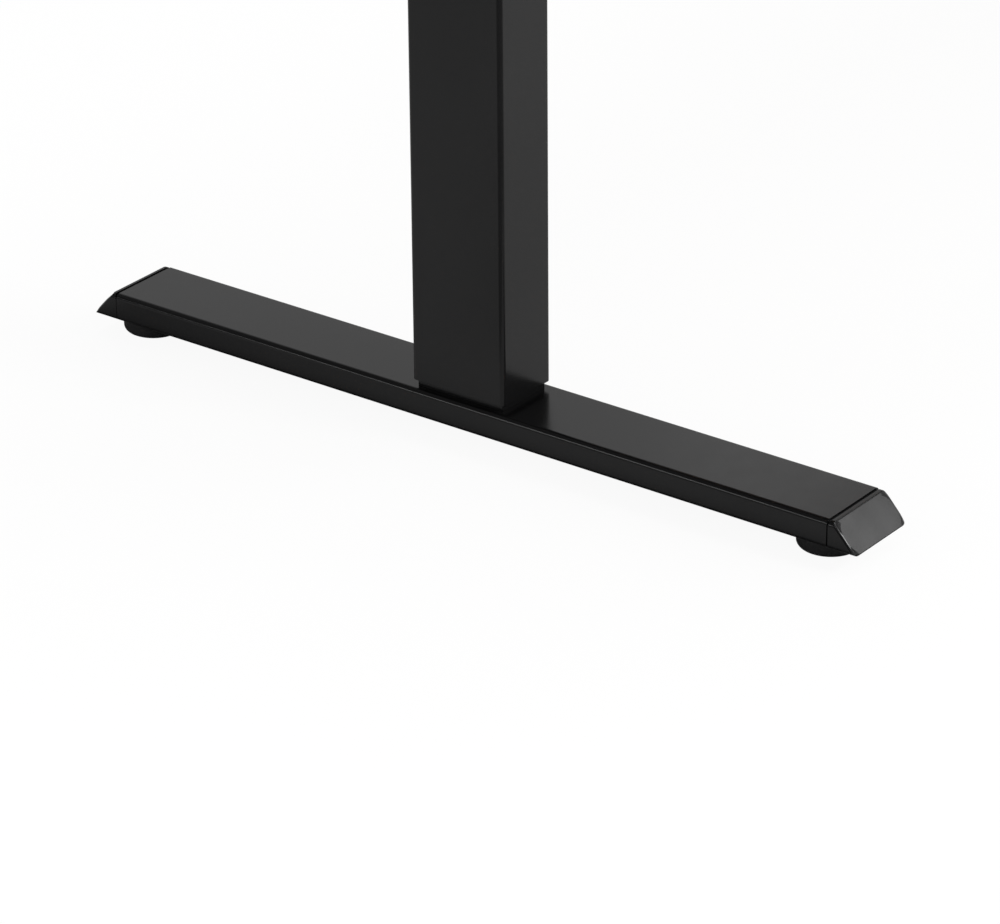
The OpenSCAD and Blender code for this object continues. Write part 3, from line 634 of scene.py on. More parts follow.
class Shape:
    """Gathers closed shells and makes one mesh of them."""

    def __init__(self) -> None:
        """Starts with nothing."""
        self.bm = bmesh.new()

    def loft(self, rings: Sequence[Sequence[Vector]], joined: bool = False) -> None:
        """Skins a row of rings.

        Args:
            rings: Rings with the same number of points.
            joined: Joins the last ring to the first, instead of capping both.
        """
        loops = [[self.bm.verts.new(point) for point in ring] for ring in rings]
        count = len(loops[0])
        pairs = list(zip(loops, loops[1:]))
        if joined:
            pairs.append((loops[-1], loops[0]))
        for low, high in pairs:
            for i in range(count):
                j = (i + 1) % count
                self.bm.faces.new((low[i], low[j], high[j], high[i]))
        if not joined:
            self.bm.faces.new(loops[0][::-1])
            self.bm.faces.new(loops[-1])

    def bar(self, section: Section, axis: Axis, start: float, end: float,
            rim: float = 0.0) -> None:
        """A solid bar along an axis, with round rims at both ends."""
        self.loft(rimmed(section, axis, start, end, rim_profile(rim) if rim else [(0.0, 0.0)]))

    def tube(self, section: Section, wall: float, axis: Axis, start: float, end: float,
             profile: Sequence[Pair]) -> None:
        """A tube along an axis, its outer rims drawn in by a profile."""
        bore = [section.inset(wall).ring(axis, place) for place in (end, start)]
        self.loft(rimmed(section, axis, start, end, profile) + bore, joined=True)

    def lathe(self, profile: Sequence[Pair], axis: Axis, centre: Pair, steps: int = 64) -> None:
        """Turns a profile round an axis.

        Args:
            profile: Pairs of radius and place along the axis.
            axis: The axis that it turns round.
            centre: Where the axis passes, in the section's coordinates.
            steps: Facets round the axis.
        """
        self.loft([[axis.point(u, v, along) for u, v in circle(centre, radius, steps)]
                   for radius, along in profile])

    def block(self, span: Span, radius: float) -> None:
        """A box with all its edges rounded; its rims stop short of the corners' centres."""
        section, rim = Section.over(span, Axis.Z, radius, 4), radius * 0.98
        self.bar(section, Axis.Z, span.lo.z, span.hi.z, rim)

    def prism(self, outline: Sequence[Pair], axis: Axis, start: float, end: float) -> None:
        """A prism with sharp edges over an outline."""
        self.loft([[axis.point(u, v, along) for u, v in outline] for along in (start, end)])

    def mesh(self) -> bpy.types.Mesh:
        """Merges what was gathered, with every face outwards, into one mesh.

        Returns:
            The mesh; nothing can be gathered after it.
        """
        bmesh.ops.remove_doubles(self.bm, verts=self.bm.verts, dist=SAME_POINT)
        bmesh.ops.recalc_face_normals(self.bm, faces=self.bm.faces)
        return to_mesh(self.bm)


def rimmed(section: Section, axis: Axis, start: float, end: float,
           profile: Sequence[Pair]) -> list[list[Vector]]:
    """The rings of a bar between two places, drawn in by a profile at both ends.

    Args:
        section: The bar's section.
        axis: The axis that it runs along.
        start: Where it starts.
        end: Where it ends.
        profile: Pairs of how far it is drawn in and how far from the end.

    Returns:
        The rings.
    """
    rings = [section.inset(depth).ring(axis, start + off) for depth, off in profile]
    return rings + [section.inset(depth).ring(axis, end - off)
                    for depth, off in reversed(profile)]


def to_mesh(bm: bmesh.types.BMesh) -> bpy.types.Mesh:
    """A plain mesh of what was worked on; the working copy is freed.

    Args:
        bm: The working copy.

    Returns:
        The mesh.
    """
    mesh = bpy.data.meshes.new("shape")
    bm.to_mesh(mesh)
    bm.free()
    return mesh


def evaluated(obj: bpy.types.Object) -> bpy.types.Mesh:
    """The plain mesh that an object's modifiers give; the object is removed.

    Args:
        obj: The object.

    Returns:
        The mesh.
    """
    bpy.context.view_layer.update()
    graph = bpy.context.evaluated_depsgraph_get()
    mesh = bpy.data.meshes.new_from_object(obj.evaluated_get(graph), depsgraph=graph)
    bpy.data.objects.remove(obj)
    return mesh


def carrier(name: str, data: bpy.types.ID) -> bpy.types.Object:
    """A linked object that holds a mesh, a text, a lamp or a camera.

    Args:
        name: The object's name.
        data: What it holds.

    Returns:
        The object.
    """
    obj = bpy.data.objects.new(name, data)
    bpy.context.scene.collection.objects.link(obj)
    return obj


def rounded(mesh: bpy.types.Mesh, width: float, steps: int = 3) -> bpy.types.Mesh:
    """Rounds a mesh's sharp edges.

    Args:
        mesh: The mesh to round.
        width: The rounding's width.
        steps: How many facets the rounding has.

    Returns:
        The rounded mesh.
    """
    obj = carrier("rounding", mesh)
    bevel = obj.modifiers.new("round", "BEVEL")
    bevel.limit_method = "ANGLE"
    bevel.angle_limit = SHARP_ANGLE
    bevel.width = width
    bevel.segments = steps
    bevel.miter_outer = "MITER_ARC"
    return evaluated(obj)


def merged_copy(node: str) -> bmesh.types.BMesh:
    """A construction node's mesh with its loose triangles merged into whole faces.

    Args:
        node: The node's name.

    Returns:
        A working copy, which the caller frees.
    """
    bm = bmesh.new()
    bm.from_mesh(bpy.data.objects[node].data)
    bmesh.ops.remove_doubles(bm, verts=bm.verts, dist=SAME_CORNER)
    bmesh.ops.dissolve_limit(bm, angle_limit=FLAT_ANGLE, verts=bm.verts, edges=bm.edges)
    return bm


def softened(node: str, width: float, steps: int = 3) -> bpy.types.Mesh:
    """A construction node's shape with its sharp edges rounded, as a new mesh."""
    return rounded(to_mesh(merged_copy(node)), width, steps)


def solids(node: str) -> list[list[Vector]]:
    """The corner points of each separate solid of a construction node, in a fixed order.

    Args:
        node: The node's name.

    Returns:
        The points, solid by solid.
    """
    bm = merged_copy(node)
    bm.verts.index_update()
    seen = set()
    found = []
    for seed in bm.verts:
        stack, group = [seed], []
        while stack:
            vert = stack.pop()
            if vert.index not in seen:
                seen.add(vert.index)
                group.append(vert.co.copy())
                stack += [edge.other_vert(vert) for edge in vert.link_edges]
        if group:
            found.append(group)
    bm.free()
    return found


def joined(meshes: Sequence[bpy.types.Mesh]) -> bpy.types.Mesh:
    """One mesh of several, without their materials.

    Args:
        meshes: The meshes.

    Returns:
        The joined mesh.
    """
    bm = bmesh.new()
    for mesh in meshes:
        bm.from_mesh(mesh)
    for face in bm.faces:
        face.material_index = 0
    return to_mesh(bm)


def place_piece(name: str, mesh: bpy.types.Mesh, finish: Finish, body: str,
                node: str | None = None) -> None:
    """Shades a mesh, dresses it and lets it ride.

    Args:
        name: The piece's name.
        mesh: Its final shape, in the desk's frame.
        finish: Its finish.
        body: The body that it rides on.
        node: The construction node that it stands for, where there is one.
    """
    for polygon in mesh.polygons:
        polygon.use_smooth = True
    mesh.set_sharp_from_angle(angle=SHARP_ANGLE)
    obj = carrier("shading", mesh)
    weigh = obj.modifiers.new("weigh", "WEIGHTED_NORMAL")
    weigh.keep_sharp = True
    weigh.weight = 90
    final = evaluated(obj)
    final.name = name
    final.materials.clear()
    final.materials.append(finish.material())
    piece = carrier(name, final)
    if node:
        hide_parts(node)
    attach(piece, body)
    LOG.info("%s: %d faces on %s", name, len(final.polygons), body)


def detail(node: str, mesh: bpy.types.Mesh, finish: Finish, body: str) -> None:
    """Places the piece that stands for a construction node."""
    place_piece(node + "_detail", mesh, finish, body, node)


def soften_node(node: str, width: float, finish: Finish, body: str, steps: int = 3) -> None:
    """Stands a copy with rounded edges for a construction node."""
    detail(node, softened(node, width, steps), finish, body)


def dress_node(node: str, finish: Finish) -> None:
    """Gives a construction node that keeps its own shape its finish.

    Args:
        node: The node's name.
        finish: Its finish.
    """
    slots = bpy.data.objects[node].data.materials
    slots.clear()
    slots.append(finish.material())
    LOG.info("%s: own shape, %s", node, finish.name)


# ---------------------------------------------------------------- repeats by geometry nodes


class GeometryTree(Nodes):
    """A geometry tree whose sizes are named inputs, run on a mesh to give a plain mesh."""

    def __init__(self, name: str, sizes: dict[str, float]) -> None:
        """Starts a tree.

        Args:
            name: The tree's name.
            sizes: Its named inputs in metres, and their values.
        """
        super().__init__(bpy.data.node_groups.new(name, "GeometryNodeTree"))
        face = self.tree.interface
        face.new_socket("Geometry", in_out="INPUT", socket_type="NodeSocketGeometry")
        sockets = [face.new_socket(key, in_out="INPUT", socket_type="NodeSocketFloat")
                   for key in sizes]
        face.new_socket("Geometry", in_out="OUTPUT", socket_type="NodeSocketGeometry")
        self.values = {socket.identifier: value
                       for socket, value in zip(sockets, sizes.values())}
        given = self.add("NodeGroupInput").outputs
        self.points = given[0]
        self.sizes = [given[index + 1] for index in range(len(sizes))]
        self.output = self.add("NodeGroupOutput")

    def stood(self, solid: Output, height: Any, base: Any) -> Output:
        """Moves a centred solid up, to stand on a height.

        Args:
            solid: The solid.
            height: Its height.
            base: The height that it stands on.

        Returns:
            The moved solid.
        """
        up = self.math("ADD", base, self.product(height, 0.5))
        return self.add("GeometryNodeTransform", {"Geometry": solid,
                                                  "Translation": self.vector(z=up)}).outputs[0]

    def cylinder(self, radius: Any, depth: Any, base: Any, sides: int = 40) -> Output:
        """A cylinder that stands on a height.

        Args:
            radius: Its radius.
            depth: Its length.
            base: The height that it stands on.
            sides: How many sides.

        Returns:
            The cylinder.
        """
        made = self.add("GeometryNodeMeshCylinder", {"Vertices": sides, "Radius": radius,
                                                     "Depth": depth})
        return self.stood(made.outputs["Mesh"], depth, base)

    def box(self, width: Any, depth: Any, height: Any) -> Output:
        """A box round the middle."""
        size = self.vector(width, depth, height)
        return self.add("GeometryNodeMeshCube", {"Size": size}).outputs["Mesh"]

    def boolean(self, operation: str, first: Output, second: Output) -> Output:
        """Joins two solids, or takes the second from the first.

        Args:
            operation: UNION or DIFFERENCE.
            first: The first solid.
            second: The second solid.

        Returns:
            The result.
        """
        node = self.add("GeometryNodeMeshBoolean", operation=operation)
        self.feed(node.inputs["Mesh 2"], second)
        self.feed(node.inputs["Mesh 1" if operation == "DIFFERENCE" else "Mesh 2"], first)
        return node.outputs["Mesh"]

    def repeat(self, instance: Output, finish: Finish, rotation: Output | None = None) -> None:
        """Puts a solid on each point, makes it real and gives it its finish.

        Args:
            instance: The solid.
            finish: Its finish.
            rotation: How each one is turned.
        """
        sockets = {"Points": self.points, "Instance": instance}
        if rotation is not None:
            sockets["Rotation"] = rotation
        placed = self.add("GeometryNodeInstanceOnPoints", sockets).outputs[0]
        real = self.add("GeometryNodeRealizeInstances", {0: placed}).outputs[0]
        final = self.add("GeometryNodeSetMaterial", {"Geometry": real,
                                                     "Material": finish.material()})
        self.feed(self.output.inputs[0], final.outputs[0])

    def run(self, source: bpy.types.Mesh) -> bpy.types.Mesh:
        """Runs the tree on a mesh and gives the plain mesh that it makes.

        Args:
            source: The mesh that it starts from.

        Returns:
            The plain mesh.
        """
        obj = carrier(self.tree.name, source)
        modifier = obj.modifiers.new("nodes", "NODES")
        modifier.node_group = self.tree
        for identifier, value in self.values.items():
            modifier[identifier] = value
        return evaluated(obj)


def point_mesh(points: Sequence[Vector]) -> bpy.types.Mesh:
    """A mesh of loose points, for solids to stand on.

    Args:
        points: Where the points are.

    Returns:
        The mesh.
    """
    mesh = bpy.data.meshes.new("points")
    mesh.from_pydata(points, [], [])
    return mesh


class Drive(Enum):
    """The recess in a screw's head."""

    HEX = "hexagon socket"
    CROSS = "cross recess"


@dataclass(frozen=True)
class Screws:
    """All the screws of one construction node, with their recesses and rounded edges."""

    node: str
    drive: Drive
    body: str
    key: float = 5.0 * MM
    key_share: float = 0.5
    blade_share: float = 0.24
    overcut: float = 1.0 * MM
    edge: float = 0.35 * MM

    def build(self) -> None:
        """Makes one piece of the node's screws."""
        heads, sizes = self.measure()
        seeds = point_mesh([place for place, _ in heads])
        axes = seeds.attributes.new("axis", "FLOAT_VECTOR", "POINT")
        axes.data.foreach_set("vector", [part for _, axis in heads for part in axis])
        detail(self.node, rounded(self.tree(sizes).run(seeds), self.edge, 2), ZINC_PLATE,
               self.body)

    def measure(self) -> tuple[list[tuple[Vector, Vector]], dict[str, float]]:
        """Finds each screw's head and axis, and the sizes they share.

        Returns:
            The place and axis of each head, and the sizes by name.
        """
        heads, lengths = [], []
        for points in solids(self.node):
            span = Span.around(points)
            along = max(range(3), key=lambda index: span.size[index])
            low, high = span.lo[along], span.hi[along]
            flat = Vector([float(index != along) for index in range(3)])
            reaches = [(((point - span.centre) * flat).length, point[along]) for point in points]
            ends = {end: max(reach for reach, place in reaches if abs(place - end) < END_ZONE)
                    for end in (low, high)}
            rising = ends[low] > ends[high]
            start, stop = (low, high) if rising else (high, low)
            wide, thin = ends[start], ends[stop]
            head_height = max(abs(place - start) for reach, place in reaches
                              if reach > 0.95 * wide)
            place, axis = span.centre.copy(), Vector((0.0, 0.0, 0.0))
            place[along] = start
            axis[along] = 1.0 if rising else -1.0
            heads.append((place, axis))
            lengths.append(high - low)
        return heads, {"Head radius": wide, "Head height": head_height, "Shank radius": thin,
                       "Length": min(lengths), "Key size": self.key,
                       "Key depth": head_height * self.key_share}

    def tree(self, sizes: dict[str, float]) -> GeometryTree:
        """The tree that makes the screws from their points.

        Args:
            sizes: The sizes by name.

        Returns:
            The tree.
        """
        tree = GeometryTree(self.node + "_screws", sizes)
        head_radius, head_height, shank_radius, length, key, depth = tree.sizes
        head = tree.cylinder(head_radius, head_height, 0.0)
        solid = tree.boolean("UNION", head, tree.cylinder(shank_radius, length, 0.0))
        reach = tree.math("ADD", depth, self.overcut)
        if self.drive is Drive.HEX:
            key_radius = tree.product(key, 0.5 / math.cos(math.pi / 6))
            recess = tree.cylinder(key_radius, reach, -self.overcut, 6)
        else:
            slim = tree.product(key, self.blade_share)
            blades = [tree.stood(tree.box(width, depth, reach), reach, -self.overcut)
                      for width, depth in ((key, slim), (slim, key))]
            recess = tree.boolean("UNION", *blades)
        solid = tree.boolean("DIFFERENCE", solid, recess)
        axis = tree.add("GeometryNodeInputNamedAttribute", {"Name": "axis"},
                        data_type="FLOAT_VECTOR")
        turn = tree.add("FunctionNodeAlignRotationToVector", {"Vector": axis.outputs[0]}, axis="Z")
        tree.repeat(solid, ZINC_PLATE, turn.outputs[0])
        return tree


@dataclass(frozen=True)
class RibRow:
    """A row of equal rounded ribs."""

    name: str
    size: Triple
    first: Vector
    step: Vector
    count: int

    def mesh(self, finish: Finish) -> bpy.types.Mesh:
        """Makes the ribs' mesh, with rounded edges, in a finish.

        Args:
            finish: The ribs' finish.

        Returns:
            The mesh.
        """
        tree = GeometryTree(self.name, dict(zip(("Width", "Depth", "Height"), self.size)))
        tree.repeat(tree.box(*tree.sizes), finish)
        seeds = point_mesh([self.first + self.step * index for index in range(self.count)])
        return rounded(tree.run(seeds), min(self.size) * 0.3, 3)


# ---------------------------------------------------------------- leg


@dataclass(frozen=True)
class CapForm:
    """The slanted form of an end cap, measured out from the tube's end and up from its underside.

    The bevel's rows are the tilt in degrees and the width of each facet along the slanted
    face's side edges, from the outline inwards.
    """

    height: float
    bottom: float
    top: float = 4.9 * MM
    shoulder: float = 0.5 * MM
    tip: float = 0.6 * MM
    soften: float = 2.0 * MM
    growth: float = 3.5
    seam: float = 0.8 * MM
    seam_top: float = 1.7 * MM
    seam_rim: float = 0.3 * MM
    bevel: tuple[Pair, ...] = (
        (80.0, 0.35 * MM), (64.0, 0.7 * MM), (50.0, 0.6 * MM), (39.0, 0.3 * MM),
        (30.5, 0.2 * MM), (25.6, 0.7 * MM), (20.5, 0.15 * MM), (10.0, 0.15 * MM))
    inner: Triple = (2.7 * MM, 4.0 * MM, 9.0 * MM)

    def edge_profile(self) -> list[Pair]:
        """The bevelled side edges of the slanted face.

        Returns:
            Depths in from the outline, each with the drop behind the slant.
        """
        steps = [(width * math.cos(math.radians(tilt)), width * math.sin(math.radians(tilt)))
                 for tilt, width in self.bevel]
        points = [(0.0, sum(fall for _, fall in steps))]
        for run, fall in steps:
            depth, drop = points[-1]
            points.append((depth + run, max(drop - fall, 0.0)))
        return points

    def face(self, up: float) -> float:
        """How far out the slanted face stands at a height.

        Args:
            up: Height above the tube's underside.

        Returns:
            Distance from the tube's end.
        """
        lean = math.atan2(self.height, self.bottom - self.top)
        if up < self.tip * (1 + math.cos(lean)):
            centre = self.bottom - self.tip / math.tan(lean / 2)
            return centre + math.sqrt(max(self.tip ** 2 - (up - self.tip) ** 2, 0.0))
        over = up - (self.height - self.shoulder)
        if over > self.shoulder * math.cos(lean):
            centre = self.top - self.shoulder * math.tan(lean / 2)
            return centre + math.sqrt(max(self.shoulder ** 2 - over ** 2, 0.0))
        return self.bottom - up * (self.bottom - self.top) / self.height

    def corner(self, section: Section, depth: float) -> float:
        """The corner radius of a ring that lies inside the tube's section by a depth."""
        grown = section.radius + min(self.growth * depth, self.soften)
        return max(grown - max(depth - self.edge_profile()[-1][0], 0.0), LEAST_RADIUS)

    def gap(self, turn: float) -> float:
        """The seam's width at a direction from the corner's centre, widest on the cap's top."""
        return self.seam + (self.seam_top - self.seam) * max(math.sin(turn), 0.0) ** 2

    def rings(self, section: Section, end: float, sign: int) -> list[list[Vector]]:
        """The cap's rings, from its seam to the middle of its slanted face.

        Args:
            section: The tube's section.
            end: Y of the tube's end.
            sign: Sign of the end's Y.

        Returns:
            Rings with the same number of points.
        """
        floor = section.centre[1] - section.height / 2
        turns = section.turns()
        rings = []
        for depth, off in rim_profile(self.seam_rim):
            rings.append(section.inset(depth).ring(Axis.Y, end))
            for point, turn in zip(rings[-1], turns):
                point.y += sign * (self.gap(turn) + off)
        for depth, drop in self.edge_profile() + [(depth, 0.0) for depth in self.inner]:
            drawn = replace(section.inset(depth), radius=self.corner(section, depth))
            rings.append(drawn.ring(Axis.Y, end))
            for point, turn in zip(rings[-1], turns):
                point.y += sign * (self.face(point.z - floor) - drop * abs(math.cos(turn)))
        return rings


@dataclass(frozen=True)
class Glide:
    """One levelling glide: a moulded pad, hollow inside, on a threaded stud."""

    pad: str
    stud: str
    curve: float = 4.0 * MM
    edge: float = 1.0 * MM
    bore: float = 4.3 * MM
    chamfer: float = 0.4 * MM
    hollow: float = 7.3 * MM
    hollow_floor: float = 2.7 * MM
    hollow_roof: float = 5.8 * MM
    foot: Pair = (7.0 * MM, 2.5 * MM)
    thread_start: float = 1.0 * MM
    thread_radius: float = 4.0 * MM
    thread_depth: float = 0.65 * MM
    thread_pitch: float = 1.25 * MM
    thread_taper: float = 1.0 * MM
    thread_sides: int = 32
    turn_steps: int = 8
    hexagon: float = 13.0 * MM
    hexagon_place: Pair = (0.3 * MM, 1.5 * MM)

    def build(self) -> None:
        """Makes the pad, which is turned, and the stud with its swivel foot and hexagon."""
        pad, stud = Span.of(self.pad), Span.of(self.stud)
        radius, height = pad.size.x / 2, pad.size.z
        profile = [(POLE, 0.0)]
        profile += [(radius - depth, off) for depth, off in rim_profile(self.curve, 8)]
        profile += [(radius - depth, height - off)
                    for depth, off in reversed(rim_profile(self.edge, 6))]
        profile += [(self.bore + self.chamfer, height), (self.bore, height - self.chamfer),
                    (self.bore, self.hollow_roof), (self.hollow, self.hollow_roof),
                    (self.hollow, self.hollow_floor), (POLE, self.hollow_floor)]
        shape = Shape()
        shape.lathe(profile, Axis.Z, Axis.Z.flat(pad.centre), steps=96)
        detail(self.pad, shape.mesh(), GLIDE_PLASTIC, self.pad)

        centre = Axis.Z.flat(stud.centre)
        shape = Shape()
        radius, height = self.foot
        shape.lathe([(radius, stud.lo.z), (radius, stud.lo.z + height)], Axis.Z, centre)
        shape.loft(self.thread(centre, stud.lo.z + self.thread_start, stud.hi.z))
        outline = circle(centre, self.hexagon / math.cos(math.pi / 6) / 2, 6)
        low, high = (pad.hi.z + place for place in self.hexagon_place)
        shape.prism(outline, Axis.Z, low, high)
        detail(self.stud, shape.mesh(), ZINC_PLATE, self.stud)

    def thread(self, centre: Pair, start: float, stop: float) -> list[list[Vector]]:
        """The rings of a thread that runs up to a tapered end.

        Args:
            centre: The stud's axis in X and Y.
            start: Z of the thread's lower end.
            stop: Z of its upper end.

        Returns:
            Rings whose points stand out where the thread's crest passes.
        """
        steps = int((stop - start) / (self.thread_pitch / self.turn_steps))
        rings = []
        for step in range(steps + 1):
            up = start + (stop - start) * step / steps
            taper = min(1.0, (stop - up) / self.thread_taper)
            ring = []
            for side in range(self.thread_sides):
                phase = ((up - start) / self.thread_pitch - side / self.thread_sides) % 1.0
                reach = self.thread_radius - self.thread_depth * (abs(2 * phase - 1) + 1 - taper)
                turn = 2 * math.pi * side / self.thread_sides
                ring.append(Vector((centre[0] + reach * math.cos(turn),
                                    centre[1] + reach * math.sin(turn), up)))
            rings.append(ring)
        return rings


@dataclass(frozen=True)
class Leg:
    """One foot with its caps and glides, and its column up to the collar."""

    side: Side
    foot_radius: float = 3.75 * MM
    foot_wall: float = 2.0 * MM
    column_radius: float = 3.25 * MM
    column_wall: float = 1.5 * MM
    column_rim: float = 0.3 * MM
    cap_drop: float = 0.5 * MM
    seam_depth: float = 1.3 * MM
    seam_cover: float = 0.4 * MM
    back_seam: float = 0.35 * MM
    back_seam_top: float = 2.8 * MM
    prong_width: float = 18.0 * MM
    prong_offset: float = 18.5 * MM
    prong_play: float = 0.3 * MM
    prong_radius: float = 1.5 * MM
    prong_rim: float = 0.5 * MM
    prong_inside: float = 14.0 * MM
    prong_outside: float = 0.8 * MM

    @property
    def body(self) -> str:
        """The body that the leg's still parts ride on."""
        return self.side.word + "_leg"

    def node(self, name: str) -> str:
        """A construction node's name on this side."""
        return f"{self.side.word}_{name}"

    def build(self) -> None:
        """Makes and dresses all of the leg."""
        soften_node(self.node("foot_tube"), 0.35 * MM, BLACK_COAT, self.body)
        self.caps()
        for end in End:
            Glide(self.node(end.word + "_pad"), self.node(end.word + "_stud")).build()
        self.column()
        Screws(self.node("base_screws"), Drive.HEX, self.body).build()
        for name, finish in (("weld_nuts", ZINC_PLATE), ("push_tube", ZINC_PLATE),
                             ("spindle_nut", TURNED_BRASS), ("spindle", SPINDLE_STEEL),
                             ("worm_shaft", SPINDLE_STEEL), ("worm_wheel", ACETAL)):
            dress_node(self.node(name), finish)

    def caps(self) -> None:
        """The slanted end caps, each with its seam and its prongs in the tube."""
        name, tube = self.node("end_caps"), Span.of(self.node("foot_tube"))
        height = tube.size.z - self.cap_drop
        front = CapForm(height, Span.of(name).hi.y - tube.hi.y)
        forms = {End.FRONT: front,
                 End.BACK: replace(front, seam=self.back_seam, seam_top=self.back_seam_top)}
        middle = (tube.centre.x, tube.centre.z - self.cap_drop / 2)
        section = Section(tube.size.x, height, self.foot_radius, middle, 10)
        prong_height = tube.size.z - 2 * self.foot_wall - self.prong_play
        shape = Shape()
        for end, form in forms.items():
            edge = end.value * tube.hi.y
            inner = edge - end.value * self.prong_inside
            outer = edge + end.value * self.prong_outside
            filled = edge + end.value * (form.seam_top + self.seam_cover)
            shape.loft(form.rings(section, edge, end.value))
            shape.bar(section.inset(self.seam_depth), Axis.Y, *sorted((edge, filled)))
            for sign in (-1, 1):
                prong = Section(self.prong_width, prong_height, self.prong_radius,
                                (middle[0] + sign * self.prong_offset, middle[1]), 4)
                shape.bar(prong, Axis.Y, *sorted((inner, outer)), self.prong_rim)
        detail(name, shape.mesh(), CAP_PLASTIC, self.body)

    def column(self) -> None:
        """The plinth, the outer tube and the collar at its top."""
        tube = self.node("outer_tube")
        soften_node(self.node("column_base"), 0.4 * MM, BLACK_COAT, self.body)
        span = Span.of(tube)
        section = Section.over(span, Axis.Z, self.column_radius, 10)
        shape = Shape()
        shape.tube(section, self.column_wall, Axis.Z, span.lo.z, span.hi.z,
                   rim_profile(self.column_rim))
        detail(tube, shape.mesh(), BLACK_COAT, self.body)
        soften_node(self.node("column_collar"), 0.6 * MM, COLLAR_PLASTIC, self.body)


# ---------------------------------------------------------------- upper frame


@dataclass(frozen=True)
class Motor:
    """A motor's form along its axis, from the gear case outwards.

    The groove's and the end's rows are a distance and how far the can is drawn in there.
    """

    chamfer: float = 0.5 * MM
    grooves: Pair = (14.0 * MM, 66.0 * MM)
    groove: tuple[Pair, ...] = ((0.0, 0.0), (0.6 * MM, 0.7 * MM), (1.6 * MM, 0.7 * MM),
                                (2.2 * MM, 0.0))
    end: tuple[Pair, ...] = ((81.0 * MM, 0.0), (82.0 * MM, 0.8 * MM), (82.2 * MM, 3.0 * MM),
                             (89.2 * MM, 3.0 * MM), (90.0 * MM, 3.8 * MM))
    bearing: tuple[Pair, ...] = ((90.0 * MM, 7.0 * MM), (88.6 * MM, 6.4 * MM), (88.6 * MM, POLE))
    plate: Triple = (3.0 * MM, 4.0 * MM, 0.6 * MM)
    screw_share: float = 1.16
    screw: tuple[Pair, ...] = ((2.5 * MM, 2.4 * MM), (4.4 * MM, 2.4 * MM), (5.0 * MM, 1.9 * MM),
                               (5.0 * MM, 1.2 * MM), (4.0 * MM, 1.1 * MM))

    def add(self, shape: Shape, whole: Span, sign: int) -> None:
        """Adds one motor.

        Args:
            shape: What it is added to.
            whole: The box round both motors.
            sign: The sign of its X.
        """
        start, middle = sign * whole.hi.x, Axis.X.flat(whole.centre)
        radius = whole.size.y / 2
        rows = [(0.0, POLE), (0.0, radius - self.chamfer), (self.chamfer, radius)]
        rows += [(place + along, radius - depth)
                 for place in self.grooves for along, depth in self.groove]
        rows += [(along, radius - depth) for along, depth in self.end]
        rows += self.bearing

        def turned(outline: Iterable[Pair], centre: Pair, steps: int) -> None:
            """Turns rows of a distance and a radius round an axis along X."""
            profile = [(reach, start - sign * along) for along, reach in outline]
            shape.lathe(profile, Axis.X, centre, steps)

        turned(rows, middle, 72)
        thickness, corner, rim = self.plate
        shape.bar(Section.over(whole, Axis.X, corner, 6), Axis.X,
                  *sorted((start, start - sign * thickness)), rim)
        for head in circle(middle, radius * self.screw_share, 4, math.pi / 4):
            turned(self.screw, head, 24)


